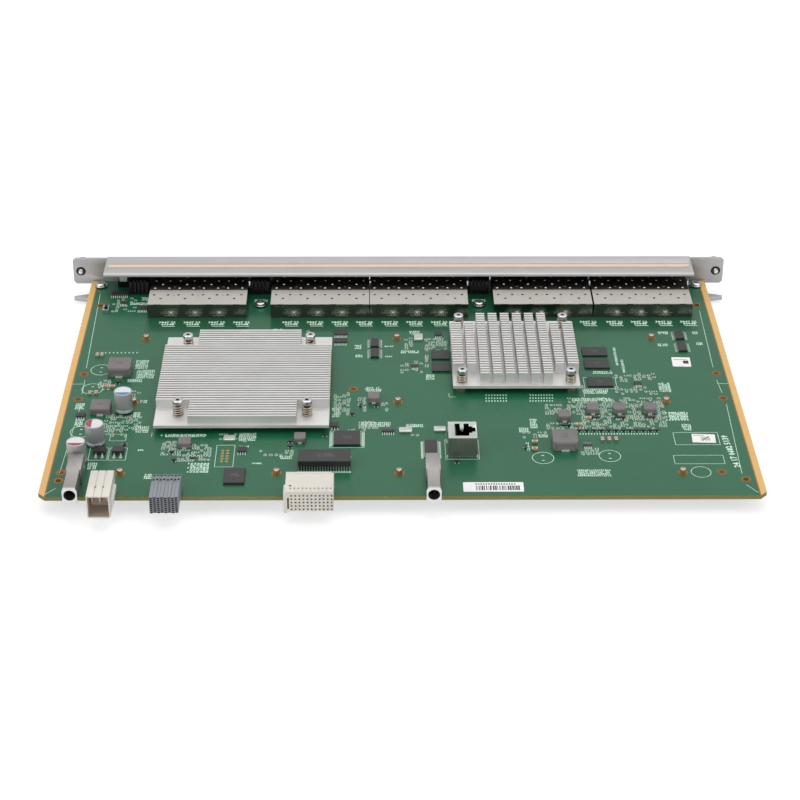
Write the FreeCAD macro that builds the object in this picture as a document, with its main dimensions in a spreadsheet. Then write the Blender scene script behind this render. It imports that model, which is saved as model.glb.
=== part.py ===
import FreeCAD, Part
import Sketcher
import math
import os
import re

# Switch line card. Datum used by every formula below: X to the right, Y from the backplane
# edge to the front panel, Z up from the top face of the circuit board, millimetres.
# The finished card stands on its posts and bracket, with the origin under its middle.

SIZES = [
    # circuit board
    ("board_width", 367.0), ("board_depth", 235.0), ("board_thick", 2.3), ("board_chamfer", 3.5),
    ("rest_gap", 7.7), ("fit_gap", 0.05), ("edge_hole_x", 174.7), ("edge_hole_bore", 1.5),
    ("edge_hole_near", 15.0),
    ("edge_hole_far", 204.0), ("thread_sides", 6), ("head_sides", 12),
    # posts under the board
    ("post_left", -144.3), ("post_middle", -1.8), ("post_right", 143.3), ("post_near", 21.5),
    ("post_pitch", 71.0), ("post_extra_x", -64.5), ("post_hex", 3.2), ("post_shank", 1.6),
    ("post_rise", 2.5),
    # front panel with its top rail
    ("panel_gap", 1.0), ("panel_thick", 2.0), ("panel_top", 15.0), ("low_gap", 7.2),
    ("ear_reach", 20.6), ("ear_inset", 4.5), ("ear_top", 14.5), ("ear_bottom", -2.0), ("ear_round", 1.5),
    ("rail_half", 173.7), ("rail_depth", 21.0), ("rail_thick", 1.6), ("rail_nose", 3.2),
    ("rail_nose_thick", 1.8), ("rail_round", 1.4), ("window_gap", 0.3),
    ("gasket_width", 4.5), ("gasket_thick", 0.8), ("gasket_sunk", 0.5), ("gasket_from_panel", 8.0),
    ("gasket_half", 171.8),
    # bracket that joins panel and board
    ("bracket_half", 182.0), ("bracket_thick", 1.5), ("bracket_reach", 40.0), ("flange_half", 160.0),
    ("flange_rise", 6.0), ("boss_wide", 3.2), ("boss_left", -81.2), ("boss_right", 46.8),
    ("boss_y", 204.0), ("corner_screw_x", 177.2), ("corner_screw_y", 228.4),
    ("screw_shank", 1.5), ("screw_head", 3.1), ("screw_head_high", 2.4), ("screw_reach", 3.5),
    # pluggable module cages
    ("port_pitch", 14.25), ("port_count", 4), ("cage_rear", 189.0), ("cage_high", 8.3),
    ("cage_wall", 0.4), ("lid_thick", 0.4), ("cage_proud", 0.4), ("cage_one", -145.7),
    ("cage_two", -74.6), ("cage_three", -17.2), ("cage_four", 54.8), ("cage_five", 112.8),
    ("host_wide", 11.5), ("host_deep", 8.5), ("host_high", 5.6), ("host_step", 3.0),
    # indicator blocks and light pipes
    ("led_rear", 218.0), ("led_high", 8.4), ("led_one", -159.4), ("led_two", -88.1),
    ("led_three", 41.3), ("led_wide", 11.6), ("led_slot", 0.9), ("led_slot_deep", 2.4),
    ("led_slot_pitch", 2.2), ("lens_wide", 9.8), ("lens_high", 2.0), ("lens_z", 4.6),
    ("holder_x", -167.0), ("holder_y", 227.0), ("holder_wide", 6.3), ("holder_deep", 6.0),
    ("holder_high", 3.6), ("beacon_high", 3.4), ("beacon_wide", 4.4),
    # heat sinks
    ("sink_under", 3.4), ("sink_base", 1.6), ("pad_thick", 0.3), ("big_x", -130.8), ("big_y", 60.4),
    ("big_wide", 92.4), ("big_deep", 96.0), ("big_fin_top", 10.1), ("big_fin", 1.3),
    ("big_fin_pitch", 2.45), ("big_fin_first", 1.3), ("big_fin_count", 39), ("big_side_cut", 18.1),
    ("big_near_cut", 18.0), ("big_far_cut", 17.2), ("big_right_cut", 17.2),
    ("big_screw_x", 12.4), ("big_screw_y", 11.6), ("big_screw_dx", 68.2), ("big_screw_dy", 71.6),
    ("big_head_top", 14.0), ("small_x", 28.3), ("small_y", 101.2), ("small_pin_top", 11.7),
    ("pin_fin", 1.4), ("pin_fin_pitch", 2.7), ("pin_fin_first", 2.5), ("pin_fin_count", 26),
    ("pin_short_rows", 4), ("pin_wide", 4.9), ("pin_gap", 2.0), ("pin_outer", 6.0),
    ("small_screw_x", 5.0), ("small_screw_y", 5.6), ("small_screw_dx", 59.2), ("small_screw_dy", 62.0),
    ("small_head_top", 12.6), ("sink_head", 2.8), ("sink_head_high", 2.2), ("coil_outer", 3.0),
    ("coil_wire", 0.7), ("coil_turns", 3), ("spacer_hex", 3.2), ("spacer_high", 2.8),
    ("big_chip", 42.5), ("small_chip", 35.0),
    # backplane side connectors
    ("power_left", -156.6), ("power_wide", 11.6), ("power_front", -16.4), ("power_back", 7.5),
    ("power_top", 11.0), ("power_bottom", -1.9), ("power_wall", 0.7), ("power_well", 11.0),
    ("power_groove", 0.5), ("blade_thick", 0.8), ("blade_high", 5.0),
    ("blade_long", 4.0), ("board_lip", 0.3),
    ("signal_left", -126.0), ("signal_front", -13.4), ("signal_back", 9.0), ("signal_top", 8.6),
    ("signal_bottom", -0.8), ("wafer_pitch", 1.8), ("wafer_count", 8), ("wafer_step", 0.5),
    ("signal_ledge", 6.0), ("signal_ledge_drop", 1.0), ("wafer_slot", 0.9), ("wafer_slot_deep", 2.5),
    ("plane_left", -58.9), ("plane_wide", 24.1), ("plane_front", -10.2), ("plane_back", 8.1),
    ("plane_top", 9.5), ("plane_bottom", -2.2), ("contact_pitch", 2.0), ("contact_columns", 11),
    ("contact_rows", 5), ("contact_hole", 0.9), ("contact_deep", 3.0), ("contact_first_x", 3.2),
    ("contact_first_z", 0.7), ("key_wide", 1.7), ("key_long", 8.0), ("key_drop", 1.0),
    ("guide_left", -166.2), ("guide_right", 15.3), ("guide_front", -6.3), ("guide_back", 26.6),
    ("guide_wide", 7.5), ("guide_neck", 6.2), ("guide_high", 9.2), ("guide_flange", 3.0),
    ("guide_neck_end", 11.5), ("guide_chamfer", 1.7), ("guide_bore", 3.0), ("guide_bore_z", 4.9),
    ("guide_bore_deep", 22.0),
    # modular jack that opens upwards
    ("jack_left", 23.6), ("jack_near", 35.9), ("jack_wide", 15.0), ("jack_deep", 16.6),
    ("jack_high", 12.0), ("jack_wall", 0.3), ("well_left", 3.6), ("well_wide", 7.2),
    ("well_near", 2.6), ("well_deep", 12.0), ("well_floor", 2.0), ("latch_wide", 1.7),
    ("latch_deep", 6.4), ("latch_inner_deep", 4.0),
    # tall and flat components
    ("can_radius", 4.9), ("can_high", 12.5), ("can_bevel", 0.5),
    ("switch_x", -172.6), ("switch_y", 194.0), ("switch_wide", 3.6), ("switch_deep", 6.4),
    ("switch_high", 2.6), ("button_wide", 1.6), ("button_deep", 2.6), ("button_rise", 0.9),
    ("button_travel", 0.3), ("button_sunk", 1.4), ("part_corner", 0.7),
    # ejector levers
    ("lever_thick", 2.4), ("lever_gap", 0.1), ("pivot_radius", 3.0), ("pivot_shoulder", 4.6),
    ("claw_reach", 16.3), ("claw_tip", 1.6), ("claw_back", 2.2), ("hub_half", 5.0),
    ("handle_gap", 0.5), ("handle_deep", 6.4), ("handle_long", 56.0), ("arm_outer", 6.5),
    ("grip_thick", 2.2), ("grip_rise", 5.6), ("grip_long", 38.0), ("lever_round", 1.4),
    # captive panel screws
    ("captive_z", 6.3), ("captive_shank", 1.5), ("captive_tip", 4.0),
    ("knob_radius", 4.2), ("knob_from_panel", 4.0), ("knob_long", 4.6),
    ("clip_radius", 3.0), ("clip_thick", 0.8), ("captive_coil", 2.4), ("captive_wire", 0.5),
    ("captive_turns", 2),
]

doc = FreeCAD.newDocument("LineCard")
sheet = doc.addObject("Spreadsheet::Sheet", "Sizes")
for row, (size_name, size) in enumerate(SIZES, 1):
    sheet.set(f"A{row}", size_name)
    sheet.set(f"B{row}", str(size))
    sheet.setAlias(f"B{row}", size_name)
doc.recompute()

NAMES = {size_name for size_name, size in SIZES}
WORD = re.compile(r"[a-z][a-z_0-9]*")
nodes = []


def cells(text):
    """The formula with each size named by its cell in the sheet."""
    return WORD.sub(lambda word: "Sizes." + word.group() if word.group() in NAMES else word.group(),
                    str(text))


def num(text):
    """The value of a formula."""
    return float(sheet.evalExpression(cells(text)))


# Formulas that several pieces share
UNDER = "(-board_thick)"
FLOOR = "(-board_thick - rest_gap)"
BRACKET_TOP = f"({FLOOR} + bracket_thick)"
PANEL_REAR = "(board_depth + panel_gap)"
PANEL_FRONT = f"({PANEL_REAR} + panel_thick)"
PANEL_LOW = "(corner_screw_x - hub_half - low_gap)"
EAR_HALF = "(rail_half + ear_reach)"
CAPTIVE_X = f"({EAR_HALF} - ear_inset)"
KNOB_REAR = f"({PANEL_FRONT} + knob_from_panel)"
KNOB_FRONT = f"({KNOB_REAR} + knob_long)"
MIDDLE = f"(({KNOB_FRONT} + power_front) / 2)"
CAGE_WIDE = "(port_pitch * port_count)"
CAGE_FRONT = f"({PANEL_FRONT} + cage_proud)"
SINK_TOP = "(sink_under + sink_base)"
SMALL_WIDE = "(8 * pin_wide + 9 * pin_gap + 2 * pin_outer)"
SMALL_DEEP = "(pin_fin_pitch * (pin_fin_count - 1) + pin_fin + 2 * pin_fin_first)"
CAGES = ["cage_one", "cage_two", "cage_three", "cage_four", "cage_five"]
LED_BLOCKS = ["led_one", "led_two", "led_three"]


def seat(part, label, x="0", y="0", z="0"):
    """Names a finished sub-part and places it, from the datum to the card's own origin."""
    part.Label = label
    part.setExpression("Placement.Base.x", cells(x))
    part.setExpression("Placement.Base.y", cells(f"{y} - {MIDDLE}"))
    part.setExpression("Placement.Base.z", cells(f"{z} - {FLOOR}"))
    nodes.append(part)
    return part


def block(name, low, high):
    """A box between two corners."""
    box = doc.addObject("Part::Box", name)
    for side, axis, start, end in zip(("Length", "Width", "Height"), "xyz", low, high):
        box.setExpression(side, cells(f"({end}) - ({start})"))
        box.setExpression(f"Placement.Base.{axis}", cells(start))
    return box


def seat_block(label, low, high):
    """A sub-part that is a plain block."""
    return seat(group(label.title(), [block(label.title() + "Block", low, high)]), label)


def rod(name, radius, x, y, low, high):
    """An upright cylinder."""
    cylinder = doc.addObject("Part::Cylinder", name)
    cylinder.setExpression("Radius", cells(radius))
    cylinder.setExpression("Height", cells(f"({high}) - ({low})"))
    for axis, place in zip("xyz", (x, y, low)):
        cylinder.setExpression(f"Placement.Base.{axis}", cells(place))
    return cylinder


def prism(name, sides, radius, x, y, low, high):
    """An upright prism of equal sides, for hexagons, threads and small round heads."""
    solid = doc.addObject("Part::Prism", name)
    solid.setExpression("Polygon", cells(sides))
    solid.setExpression("Circumradius", cells(radius))
    solid.setExpression("Height", cells(f"({high}) - ({low})"))
    for axis, place in zip("xyz", (x, y, low)):
        solid.setExpression(f"Placement.Base.{axis}", cells(place))
    return solid


def threaded(name, radius, x, y, low, high):
    """A threaded shank, or the bore for one where the radius has a clearance."""
    return prism(name, "thread_sides", radius, x, y, low, high)


def group(name, members):
    """Separate solids kept together."""
    compound = doc.addObject("Part::Compound", name)
    compound.Links = members
    return compound


def fused(name, members):
    """Solids joined into one."""
    joint = doc.addObject("Part::MultiFuse", name)
    joint.Shapes = members
    return joint


def cut(name, base, tools):
    """A solid less a list of tools."""
    result = doc.addObject("Part::Cut", name)
    result.Base = base
    result.Tool = tools[0] if len(tools) == 1 else group(name + "Tools", tools)
    return result


def body(name):
    """An empty body."""
    return doc.addObject("PartDesign::Body", name)


def plane(owner, role):
    """One of a body's own origin planes or axes."""
    return next(item for item in owner.Origin.OriginFeatures if item.Role == role)


def sketch(owner, role, name, lift=None):
    """A sketch on one of the body's origin planes, lifted along its normal if asked."""
    drawing = owner.newObject("Sketcher::SketchObject", name)
    drawing.AttachmentSupport = (plane(owner, role), [""])
    drawing.MapMode = "FlatFace"
    if lift is not None:
        drawing.setExpression("AttachmentOffset.Base.z", cells(lift))
    return drawing


def outline(drawing, points):
    """A closed outline of straight lines, each corner tied to its two formulas."""
    places = [FreeCAD.Vector(num(x), num(y), 0) for x, y in points]
    first = drawing.GeometryCount
    count = len(points)
    for index, start in enumerate(places):
        drawing.addGeometry(Part.LineSegment(start, places[(index + 1) % count]), False)
    for index, (x, y) in enumerate(points):
        line = first + index
        drawing.addConstraint(
            Sketcher.Constraint("Coincident", line, 2, first + (index + 1) % count, 1))
        across = drawing.addConstraint(
            Sketcher.Constraint("DistanceX", -1, 1, line, 1, places[index].x))
        drawing.setExpression(f"Constraints[{across}]", cells(x))
        along = drawing.addConstraint(
            Sketcher.Constraint("DistanceY", -1, 1, line, 1, places[index].y))
        drawing.setExpression(f"Constraints[{along}]", cells(y))


def rectangle(drawing, x0, y0, x1, y1):
    """A rectangle between two corners."""
    outline(drawing, [(x0, y0), (x1, y0), (x1, y1), (x0, y1)])


def circle(drawing, x, y, radius):
    """A circle with its centre and radius tied to formulas."""
    centre = FreeCAD.Vector(num(x), num(y), 0)
    ring = drawing.addGeometry(
        Part.Circle(centre, FreeCAD.Vector(0, 0, 1), num(radius)), False)
    for kind, value, formula in (("DistanceX", centre.x, x), ("DistanceY", centre.y, y)):
        number = drawing.addConstraint(Sketcher.Constraint(kind, -1, 1, ring, 3, value))
        drawing.setExpression(f"Constraints[{number}]", cells(formula))
    number = drawing.addConstraint(Sketcher.Constraint("Radius", ring, num(radius)))
    drawing.setExpression(f"Constraints[{number}]", cells(radius))


def pad(owner, drawing, length, turned_round=False, both_sides=False):
    """Adds material from a sketch."""
    feature = owner.newObject("PartDesign::Pad", drawing.Name + "Pad")
    feature.Profile = drawing
    feature.setExpression("Length", cells(length))
    feature.Reversed = turned_round
    if both_sides:
        feature.SideType = "Symmetric"
    return feature


def pocket(owner, drawing, length=None, turned_round=False, both_sides=False):
    """Cuts a sketch out of the body, right through where no length is given."""
    feature = owner.newObject("PartDesign::Pocket", drawing.Name + "Pocket")
    feature.Profile = drawing
    feature.Reversed = turned_round
    if length is None:
        feature.Type = "ThroughAll"
    else:
        feature.setExpression("Length", cells(length))
    if both_sides:
        feature.SideType = "Symmetric"
    return feature


def row_of(owner, feature, axis, pitch, count):
    """Repeats a feature in a straight row."""
    pattern = owner.newObject("PartDesign::LinearPattern", feature.Name + "Row")
    pattern.Originals = [feature]
    pattern.Direction = (plane(owner, axis), [""])
    pattern.setExpression("Length", cells(f"{pitch} * ({count} - 1)"))
    pattern.setExpression("Occurrences", cells(count))
    owner.Tip = pattern
    return pattern


def turned(owner, name, points):
    """A body turned about its upright axis from a half section of radius and height."""
    drawing = sketch(owner, "XZ_Plane", name)
    outline(drawing, points)
    feature = owner.newObject("PartDesign::Revolution", name + "Turned")
    feature.Profile = drawing
    feature.ReferenceAxis = (plane(owner, "Z_Axis"), [""])
    feature.Angle = 360
    return feature


def rounded(owner, feature, radius, wanted):
    """Fillets the edges whose middle point passes a test."""
    doc.recompute()
    edges = [f"Edge{number}" for number, edge in enumerate(feature.Shape.Edges, 1)
             if wanted(edge, edge.BoundBox.Center)]
    fillet = owner.newObject("PartDesign::Fillet", feature.Name + "Round")
    fillet.Base = (feature, edges)
    fillet.setExpression("Radius", cells(radius))
    owner.Tip = fillet
    return fillet


def chamfered(owner, feature, size, wanted):
    """Chamfers the edges whose middle point passes a test."""
    doc.recompute()
    edges = [f"Edge{number}" for number, edge in enumerate(feature.Shape.Edges, 1)
             if wanted(edge, edge.BoundBox.Center)]
    chamfer = owner.newObject("PartDesign::Chamfer", feature.Name + "Chamfer")
    chamfer.Base = (feature, edges)
    chamfer.setExpression("Size", cells(size))
    owner.Tip = chamfer
    return chamfer


def near(value, formula):
    """True where a value is at the place that a formula gives."""
    return abs(value - num(formula)) < 0.01


# Places that holes and what passes through them share
EDGE_HOLES = [(f"{side} * edge_hole_x", height) for side in ("-1", "1")
              for height in ("edge_hole_near", "edge_hole_far")]
POSTS = [(x, f"post_near + {step} * post_pitch") for step in (0, 1, 2)
         for x in ("post_left", "post_middle", "post_right")] + [("post_extra_x", "post_near")]
CORNER_SCREWS = [("-corner_screw_x", "corner_screw_y"), ("corner_screw_x", "corner_screw_y")]
BOSSES = [("boss_left", "boss_y"), ("boss_right", "boss_y")]
BIG_SCREWS = [(f"big_x + big_screw_x + {i} * big_screw_dx", f"big_y + big_screw_y + {j} * big_screw_dy")
              for i in (0, 1) for j in (0, 1)]
SMALL_SCREWS = [(f"small_x + small_screw_x + {i} * small_screw_dx",
                 f"small_y + small_screw_y + {j} * small_screw_dy") for i in (0, 1) for j in (0, 1)]


def make_board():
    """The circuit board with its chamfered near corners and all its holes."""
    owner = body("BoardBlank")
    drawing = sketch(owner, "XY_Plane", "BoardOutline")
    half = "board_width / 2"
    outline(drawing, [(f"-{half} + board_chamfer", "0"), (f"{half} - board_chamfer", "0"),
                      (half, "board_chamfer"), (half, "board_depth"), (f"-{half}", "board_depth"),
                      (f"-{half}", "board_chamfer")])
    pad(owner, drawing, "board_thick", turned_round=True)
    holes = sketch(owner, "XY_Plane", "EdgeHoles")
    for x, y in EDGE_HOLES:
        circle(holes, x, y, "edge_hole_bore")
    pocket(owner, holes)
    span = (f"{UNDER} - 1", "1")
    bores = [threaded(f"PostHole{n}", "post_shank + fit_gap", x, y, *span)
             for n, (x, y) in enumerate(POSTS)]
    bores += [threaded(f"ScrewHole{n}", "screw_shank + fit_gap", x, y, *span)
              for n, (x, y) in enumerate(CORNER_SCREWS + BOSSES)]
    seat(cut("Board", owner, bores), "board")


def make_posts():
    """Hexagonal posts under the board, their narrower shanks swaged through it."""
    posts = [fused(f"Post{n}", [
        prism(f"PostHex{n}", "6", "post_hex", x, y, FLOOR, UNDER),
        threaded(f"PostShank{n}", "post_shank", x, y, f"{UNDER} - rest_gap / 2", "post_rise")])
        for n, (x, y) in enumerate(POSTS)]
    seat(group("Posts", posts), "posts")


def make_front_panel():
    """The folded panel: face with ears, module windows and the rail along its top."""
    owner = body("FrontPanel")
    face = sketch(owner, "XZ_Plane", "PanelFace")
    outline(face, [(f"-{EAR_HALF}", "ear_bottom"), (f"-{PANEL_LOW}", "ear_bottom"),
                   (f"-{PANEL_LOW}", FLOOR), (PANEL_LOW, FLOOR),
                   (PANEL_LOW, "ear_bottom"), (EAR_HALF, "ear_bottom"),
                   (EAR_HALF, "ear_top"), ("rail_half", "ear_top"), ("rail_half", "panel_top"),
                   ("-rail_half", "panel_top"), ("-rail_half", "ear_top"),
                   (f"-{EAR_HALF}", "ear_top")])
    pad(owner, face, "panel_thick")
    profile = sketch(owner, "YZ_Plane", "RailSection")
    reach = "-panel_thick - rail_depth"
    outline(profile, [("-panel_thick / 2", "panel_top"), (reach, "panel_top"),
                      (reach, "panel_top - rail_nose"),
                      (f"{reach} + rail_nose_thick", "panel_top - rail_nose"),
                      (f"{reach} + rail_nose_thick", "panel_top - rail_thick"),
                      ("-panel_thick / 2", "panel_top - rail_thick")])
    rail = pad(owner, profile, "2 * rail_half", both_sides=True)
    nose = rounded(owner, rail, "rail_round", lambda edge, c: edge.BoundBox.XLength > 300
                   and near(c.y, reach) and near(c.z, "panel_top"))
    chamfered(owner, nose, "ear_round", lambda edge, c: near(edge.BoundBox.YLength, "panel_thick")
              and near(abs(c.x), EAR_HALF))
    groove = sketch(owner, "YZ_Plane", "GasketGroove")
    start = "-panel_thick - gasket_from_panel - gasket_width"
    rectangle(groove, start, "panel_top - gasket_sunk", f"{start} + gasket_width", "panel_top + 1")
    pocket(owner, groove, "2 * gasket_half", both_sides=True)
    openings = sketch(owner, "XZ_Plane", "PanelWindows")
    for left in CAGES:
        rectangle(openings, f"{left} - window_gap", "-window_gap",
                  f"{left} + {CAGE_WIDE} + window_gap", "cage_high + lid_thick + window_gap")
    for left in LED_BLOCKS:
        x = lens_start(left)
        rectangle(openings, f"{x} - fit_gap", "lens_z - fit_gap", f"{x} + lens_wide + fit_gap",
                  "lens_z + lens_high + fit_gap")
    for side in ("-1", "1"):
        circle(openings, f"{side} * {CAPTIVE_X}", "captive_z", "captive_shank + fit_gap")
    pocket(owner, openings, "panel_thick", turned_round=True)
    seat(owner, "front_panel", y=PANEL_FRONT)


def lens_start(left):
    """Left end of the lens bar in front of an indicator block."""
    return f"({left} + (led_wide - lens_wide) / 2)"


def make_gasket():
    """The conductive strip that lies in the rail's groove."""
    back = f"{PANEL_REAR} - gasket_from_panel"
    seat_block("emi_gasket", ("-gasket_half", f"{back} - gasket_width", "panel_top - gasket_sunk"),
               ("gasket_half", back, "panel_top - gasket_sunk + gasket_thick"))


def make_bracket():
    """The folded bracket under the board, with two bosses and a flange to the panel."""
    near_edge = f"{PANEL_REAR} - bracket_reach"
    plate = block("BracketPlate", ("-bracket_half", near_edge, FLOOR),
                  ("bracket_half", PANEL_REAR, BRACKET_TOP))
    flange = block("BracketFlange", ("-flange_half", f"{PANEL_REAR} - bracket_thick", FLOOR),
                   ("flange_half", PANEL_REAR, f"{FLOOR} + flange_rise"))
    bosses = [prism(f"Boss{n}", "6", "boss_wide", x, y, FLOOR, UNDER)
              for n, (x, y) in enumerate(BOSSES)]
    bores = [threaded(f"BossBore{n}", "screw_shank + fit_gap", x, y, f"{FLOOR} - 1", f"{UNDER} + 1")
             for n, (x, y) in enumerate(BOSSES)]
    seat(cut("Bracket", fused("BracketSolid", [plate, flange] + bosses), bores), "panel_bracket")


def make_pivots():
    """Hexagonal posts under the board's far corners, with the turned pins of the levers."""
    pivots = []
    shoulder = f"{BRACKET_TOP} + lever_thick + 2 * lever_gap"
    for number, (x, y) in enumerate(CORNER_SCREWS):
        solid = fused(f"PivotSolid{number}", [
            rod(f"PivotPin{number}", "pivot_radius", x, y, BRACKET_TOP, f"{UNDER} - lever_gap"),
            prism(f"PivotShoulder{number}", "6", "pivot_shoulder", x, y, shoulder, UNDER)])
        bore = threaded(f"PivotBore{number}", "screw_shank + fit_gap", x, y,
                        f"{UNDER} - screw_reach - lever_gap", f"{UNDER} + 1")
        pivots.append(cut(f"Pivot{number}", solid, [bore]))
    seat(group("Pivots", pivots), "ejector_pivots")


def make_board_screws():
    """Pan head screws, down into the pivots and bosses."""
    screws = [fused(f"Screw{n}", [
        prism(f"ScrewHead{n}", "head_sides", "screw_head", x, y, "0", "screw_head_high"),
        threaded(f"ScrewShank{n}", "screw_shank", x, y, f"{UNDER} - screw_reach",
                 "screw_head_high / 2")]) for n, (x, y) in enumerate(CORNER_SCREWS + BOSSES)]
    seat(group("BoardScrews", screws), "board_screws")


def make_cage(number, left):
    """The tub of one ganged cage: floor, sides and rear wall."""
    right = f"{left} + {CAGE_WIDE}"
    outer = block(f"CageOuter{number}", (left, "cage_rear", "0"), (right, CAGE_FRONT, "cage_high"))
    inner = block(f"CageInner{number}", (f"{left} + cage_wall", "cage_rear + cage_wall", "cage_wall"),
                  (f"{right} - cage_wall", f"{CAGE_FRONT} + 1", "cage_high + 1"))
    seat(cut(f"Cage{number}", outer, [inner]), f"sfp_cage_{number}")


def make_lids():
    """Flat cage covers."""
    lids = [block(f"Lid{n}", (left, "cage_rear", "cage_high"),
                  (f"{left} + {CAGE_WIDE}", CAGE_FRONT, "cage_high + lid_thick"))
            for n, left in enumerate(CAGES)]
    seat(group("Lids", lids), "sfp_lids")


def make_dividers():
    """Partitions between the ports of each cage."""
    walls = []
    for number, left in enumerate(CAGES):
        for port in (1, 2, 3):
            middle = f"{left} + {port} * port_pitch"
            walls.append(block(f"Divider{number}{port}",
                               (f"{middle} - cage_wall / 2", "cage_rear + cage_wall", "cage_wall"),
                               (f"{middle} + cage_wall / 2", CAGE_FRONT, "cage_high")))
    seat(group("Dividers", walls), "sfp_dividers")


def make_host_connectors():
    """The connector at the back of each port, its card slot between a low and a high jaw."""
    hosts = []
    for number, left in enumerate(CAGES):
        for port in range(4):
            owner = body(f"Host{number}{port}")
            side = sketch(owner, "YZ_Plane", f"HostSide{number}{port}")
            outline(side, [("0", "0"), ("host_deep", "0"), ("host_deep", "host_high / 3"),
                           ("host_step", "host_high / 3"), ("host_step", "host_high * 2 / 3"),
                           ("host_deep", "host_high * 2 / 3"), ("host_deep", "host_high"),
                           ("0", "host_high")])
            pad(owner, side, "host_wide", both_sides=True)
            places = (f"{left} + ({port} + 0.5) * port_pitch", "cage_rear + cage_wall", "cage_wall")
            for axis, place in zip("xyz", places):
                owner.setExpression(f"Placement.Base.{axis}", cells(place))
            hosts.append(owner)
    seat(group("Hosts", hosts), "sfp_host_connectors")


def make_led_blocks():
    """Black indicator housings with slots down their rear face."""
    blocks = []
    for number, left in enumerate(LED_BLOCKS):
        solid = block(f"LedBlock{number}", (left, "led_rear", "0"),
                      (f"{left} + led_wide", PANEL_REAR, "led_high"))
        slots = []
        for index in range(4):
            x = f"{left} + led_wide / 2 + ({index} - 1.5) * led_slot_pitch - led_slot / 2"
            slots.append(block(f"LedSlot{number}{index}", (x, "led_rear - 1", "1"),
                               (f"{x} + led_slot", "led_rear + led_slot_deep", "led_high + 1")))
        blocks.append(cut(f"LedHousing{number}", solid, slots))
    seat(group("LedBlocks", blocks), "led_blocks")


def make_lenses():
    """A clear lens bar in the panel in front of each indicator block."""
    lenses = [block(f"Lens{n}", (lens_start(left), PANEL_REAR, "lens_z"),
                    (f"{lens_start(left)} + lens_wide", PANEL_FRONT, "lens_z + lens_high"))
              for n, left in enumerate(LED_BLOCKS)]
    seat(group("Lenses", lenses), "indicator_lenses")


def make_status_beacon():
    """A single indicator holder near the left corner, with its clear light guide."""
    right = "holder_x + holder_wide"
    seat_block("status_led_holder", ("holder_x", "holder_y", "0"),
               (right, "holder_y + holder_deep", "holder_high"))
    side = "(holder_wide - beacon_wide) / 2"
    seat_block("status_light_guide", (f"holder_x + {side}", f"holder_y + {side}", "holder_high"),
               (f"{right} - {side}", PANEL_REAR, "holder_high + beacon_high"))


def make_big_sink():
    """The plate fin heat sink, its corners milled down to the base for the screws."""
    owner = body("BigSink")
    base = sketch(owner, "XY_Plane", "BigBase")
    rectangle(base, "0", "0", "big_wide", "big_deep")
    pad(owner, base, "sink_base")
    fin = sketch(owner, "YZ_Plane", "BigFin")
    rectangle(fin, "big_fin_first", "sink_base / 2", "big_fin_first + big_fin",
              f"big_fin_top - sink_under")
    row_of(owner, pad(owner, fin, "big_wide"), "Y_Axis", "big_fin_pitch", "big_fin_count")
    corners = sketch(owner, "XY_Plane", "BigCorners", "sink_base")
    near_y = "big_near_cut"
    far_y = "big_deep - big_far_cut"
    for x0, x1 in (("-1", "big_side_cut"), ("big_wide - big_right_cut", "big_wide + 1")):
        rectangle(corners, x0, "-1", x1, near_y)
        rectangle(corners, x0, far_y, x1, "big_deep + 1")
    pocket(owner, corners, "big_fin_top", turned_round=True)
    seat(cut("BigSinkDrilled", owner, sink_bores("big")), "heatsink_large", "big_x", "big_y",
         "sink_under")


def sink_bores(size):
    """The four screw holes through a heat sink's base."""
    return [threaded(f"{size.title()}Bore{i}{j}", "screw_shank + fit_gap",
                     f"{size}_screw_x + {i} * {size}_screw_dx",
                     f"{size}_screw_y + {j} * {size}_screw_dy", "-1", "sink_base + 1")
            for i in (0, 1) for j in (0, 1)]


def make_small_sink():
    """The pin fin heat sink: rows of fins, less the slots between columns and the corners."""
    top = "small_pin_top - sink_under"
    solids = [block("PinBase", ("0", "0", "0"), (SMALL_WIDE, SMALL_DEEP, "sink_base"))]
    for row in range(int(num("pin_fin_count"))):
        y = f"pin_fin_first + {row} * pin_fin_pitch"
        solids.append(block(f"PinRow{row}", ("0", y, "sink_base / 2"),
                            (SMALL_WIDE, f"{y} + pin_fin", top)))
    tools = []
    for column in range(9):
        x = f"pin_outer + {column} * (pin_gap + pin_wide)"
        tools.append(block(f"PinSlot{column}", (x, "-1", "sink_base"),
                           (f"{x} + pin_gap", f"{SMALL_DEEP} + 1", f"{top} + 1")))
    wide = "(pin_outer + 1.5 * pin_gap + pin_wide)"
    deep = "(pin_fin_first + pin_short_rows * pin_fin_pitch - (pin_fin_pitch - pin_fin) / 2)"
    for x0, x1 in (("-1", wide), (f"{SMALL_WIDE} - {wide}", f"{SMALL_WIDE} + 1")):
        for y0, y1 in (("-1", deep), (f"{SMALL_DEEP} - {deep}", f"{SMALL_DEEP} + 1")):
            tools.append(block(f"PinCorner{len(tools)}", (x0, y0, "sink_base"),
                               (x1, y1, f"{top} + 1")))
    rows = fused("PinRows", solids)
    rows.Refine = False
    seat(cut("Pins", rows, tools + sink_bores("small")), "heatsink_small", "small_x", "small_y",
         "sink_under")


def sink_screws():
    """Each sprung screw's place with the height of its head."""
    return ([(x, y, "big_head_top") for x, y in BIG_SCREWS]
            + [(x, y, "small_head_top") for x, y in SMALL_SCREWS])


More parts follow.
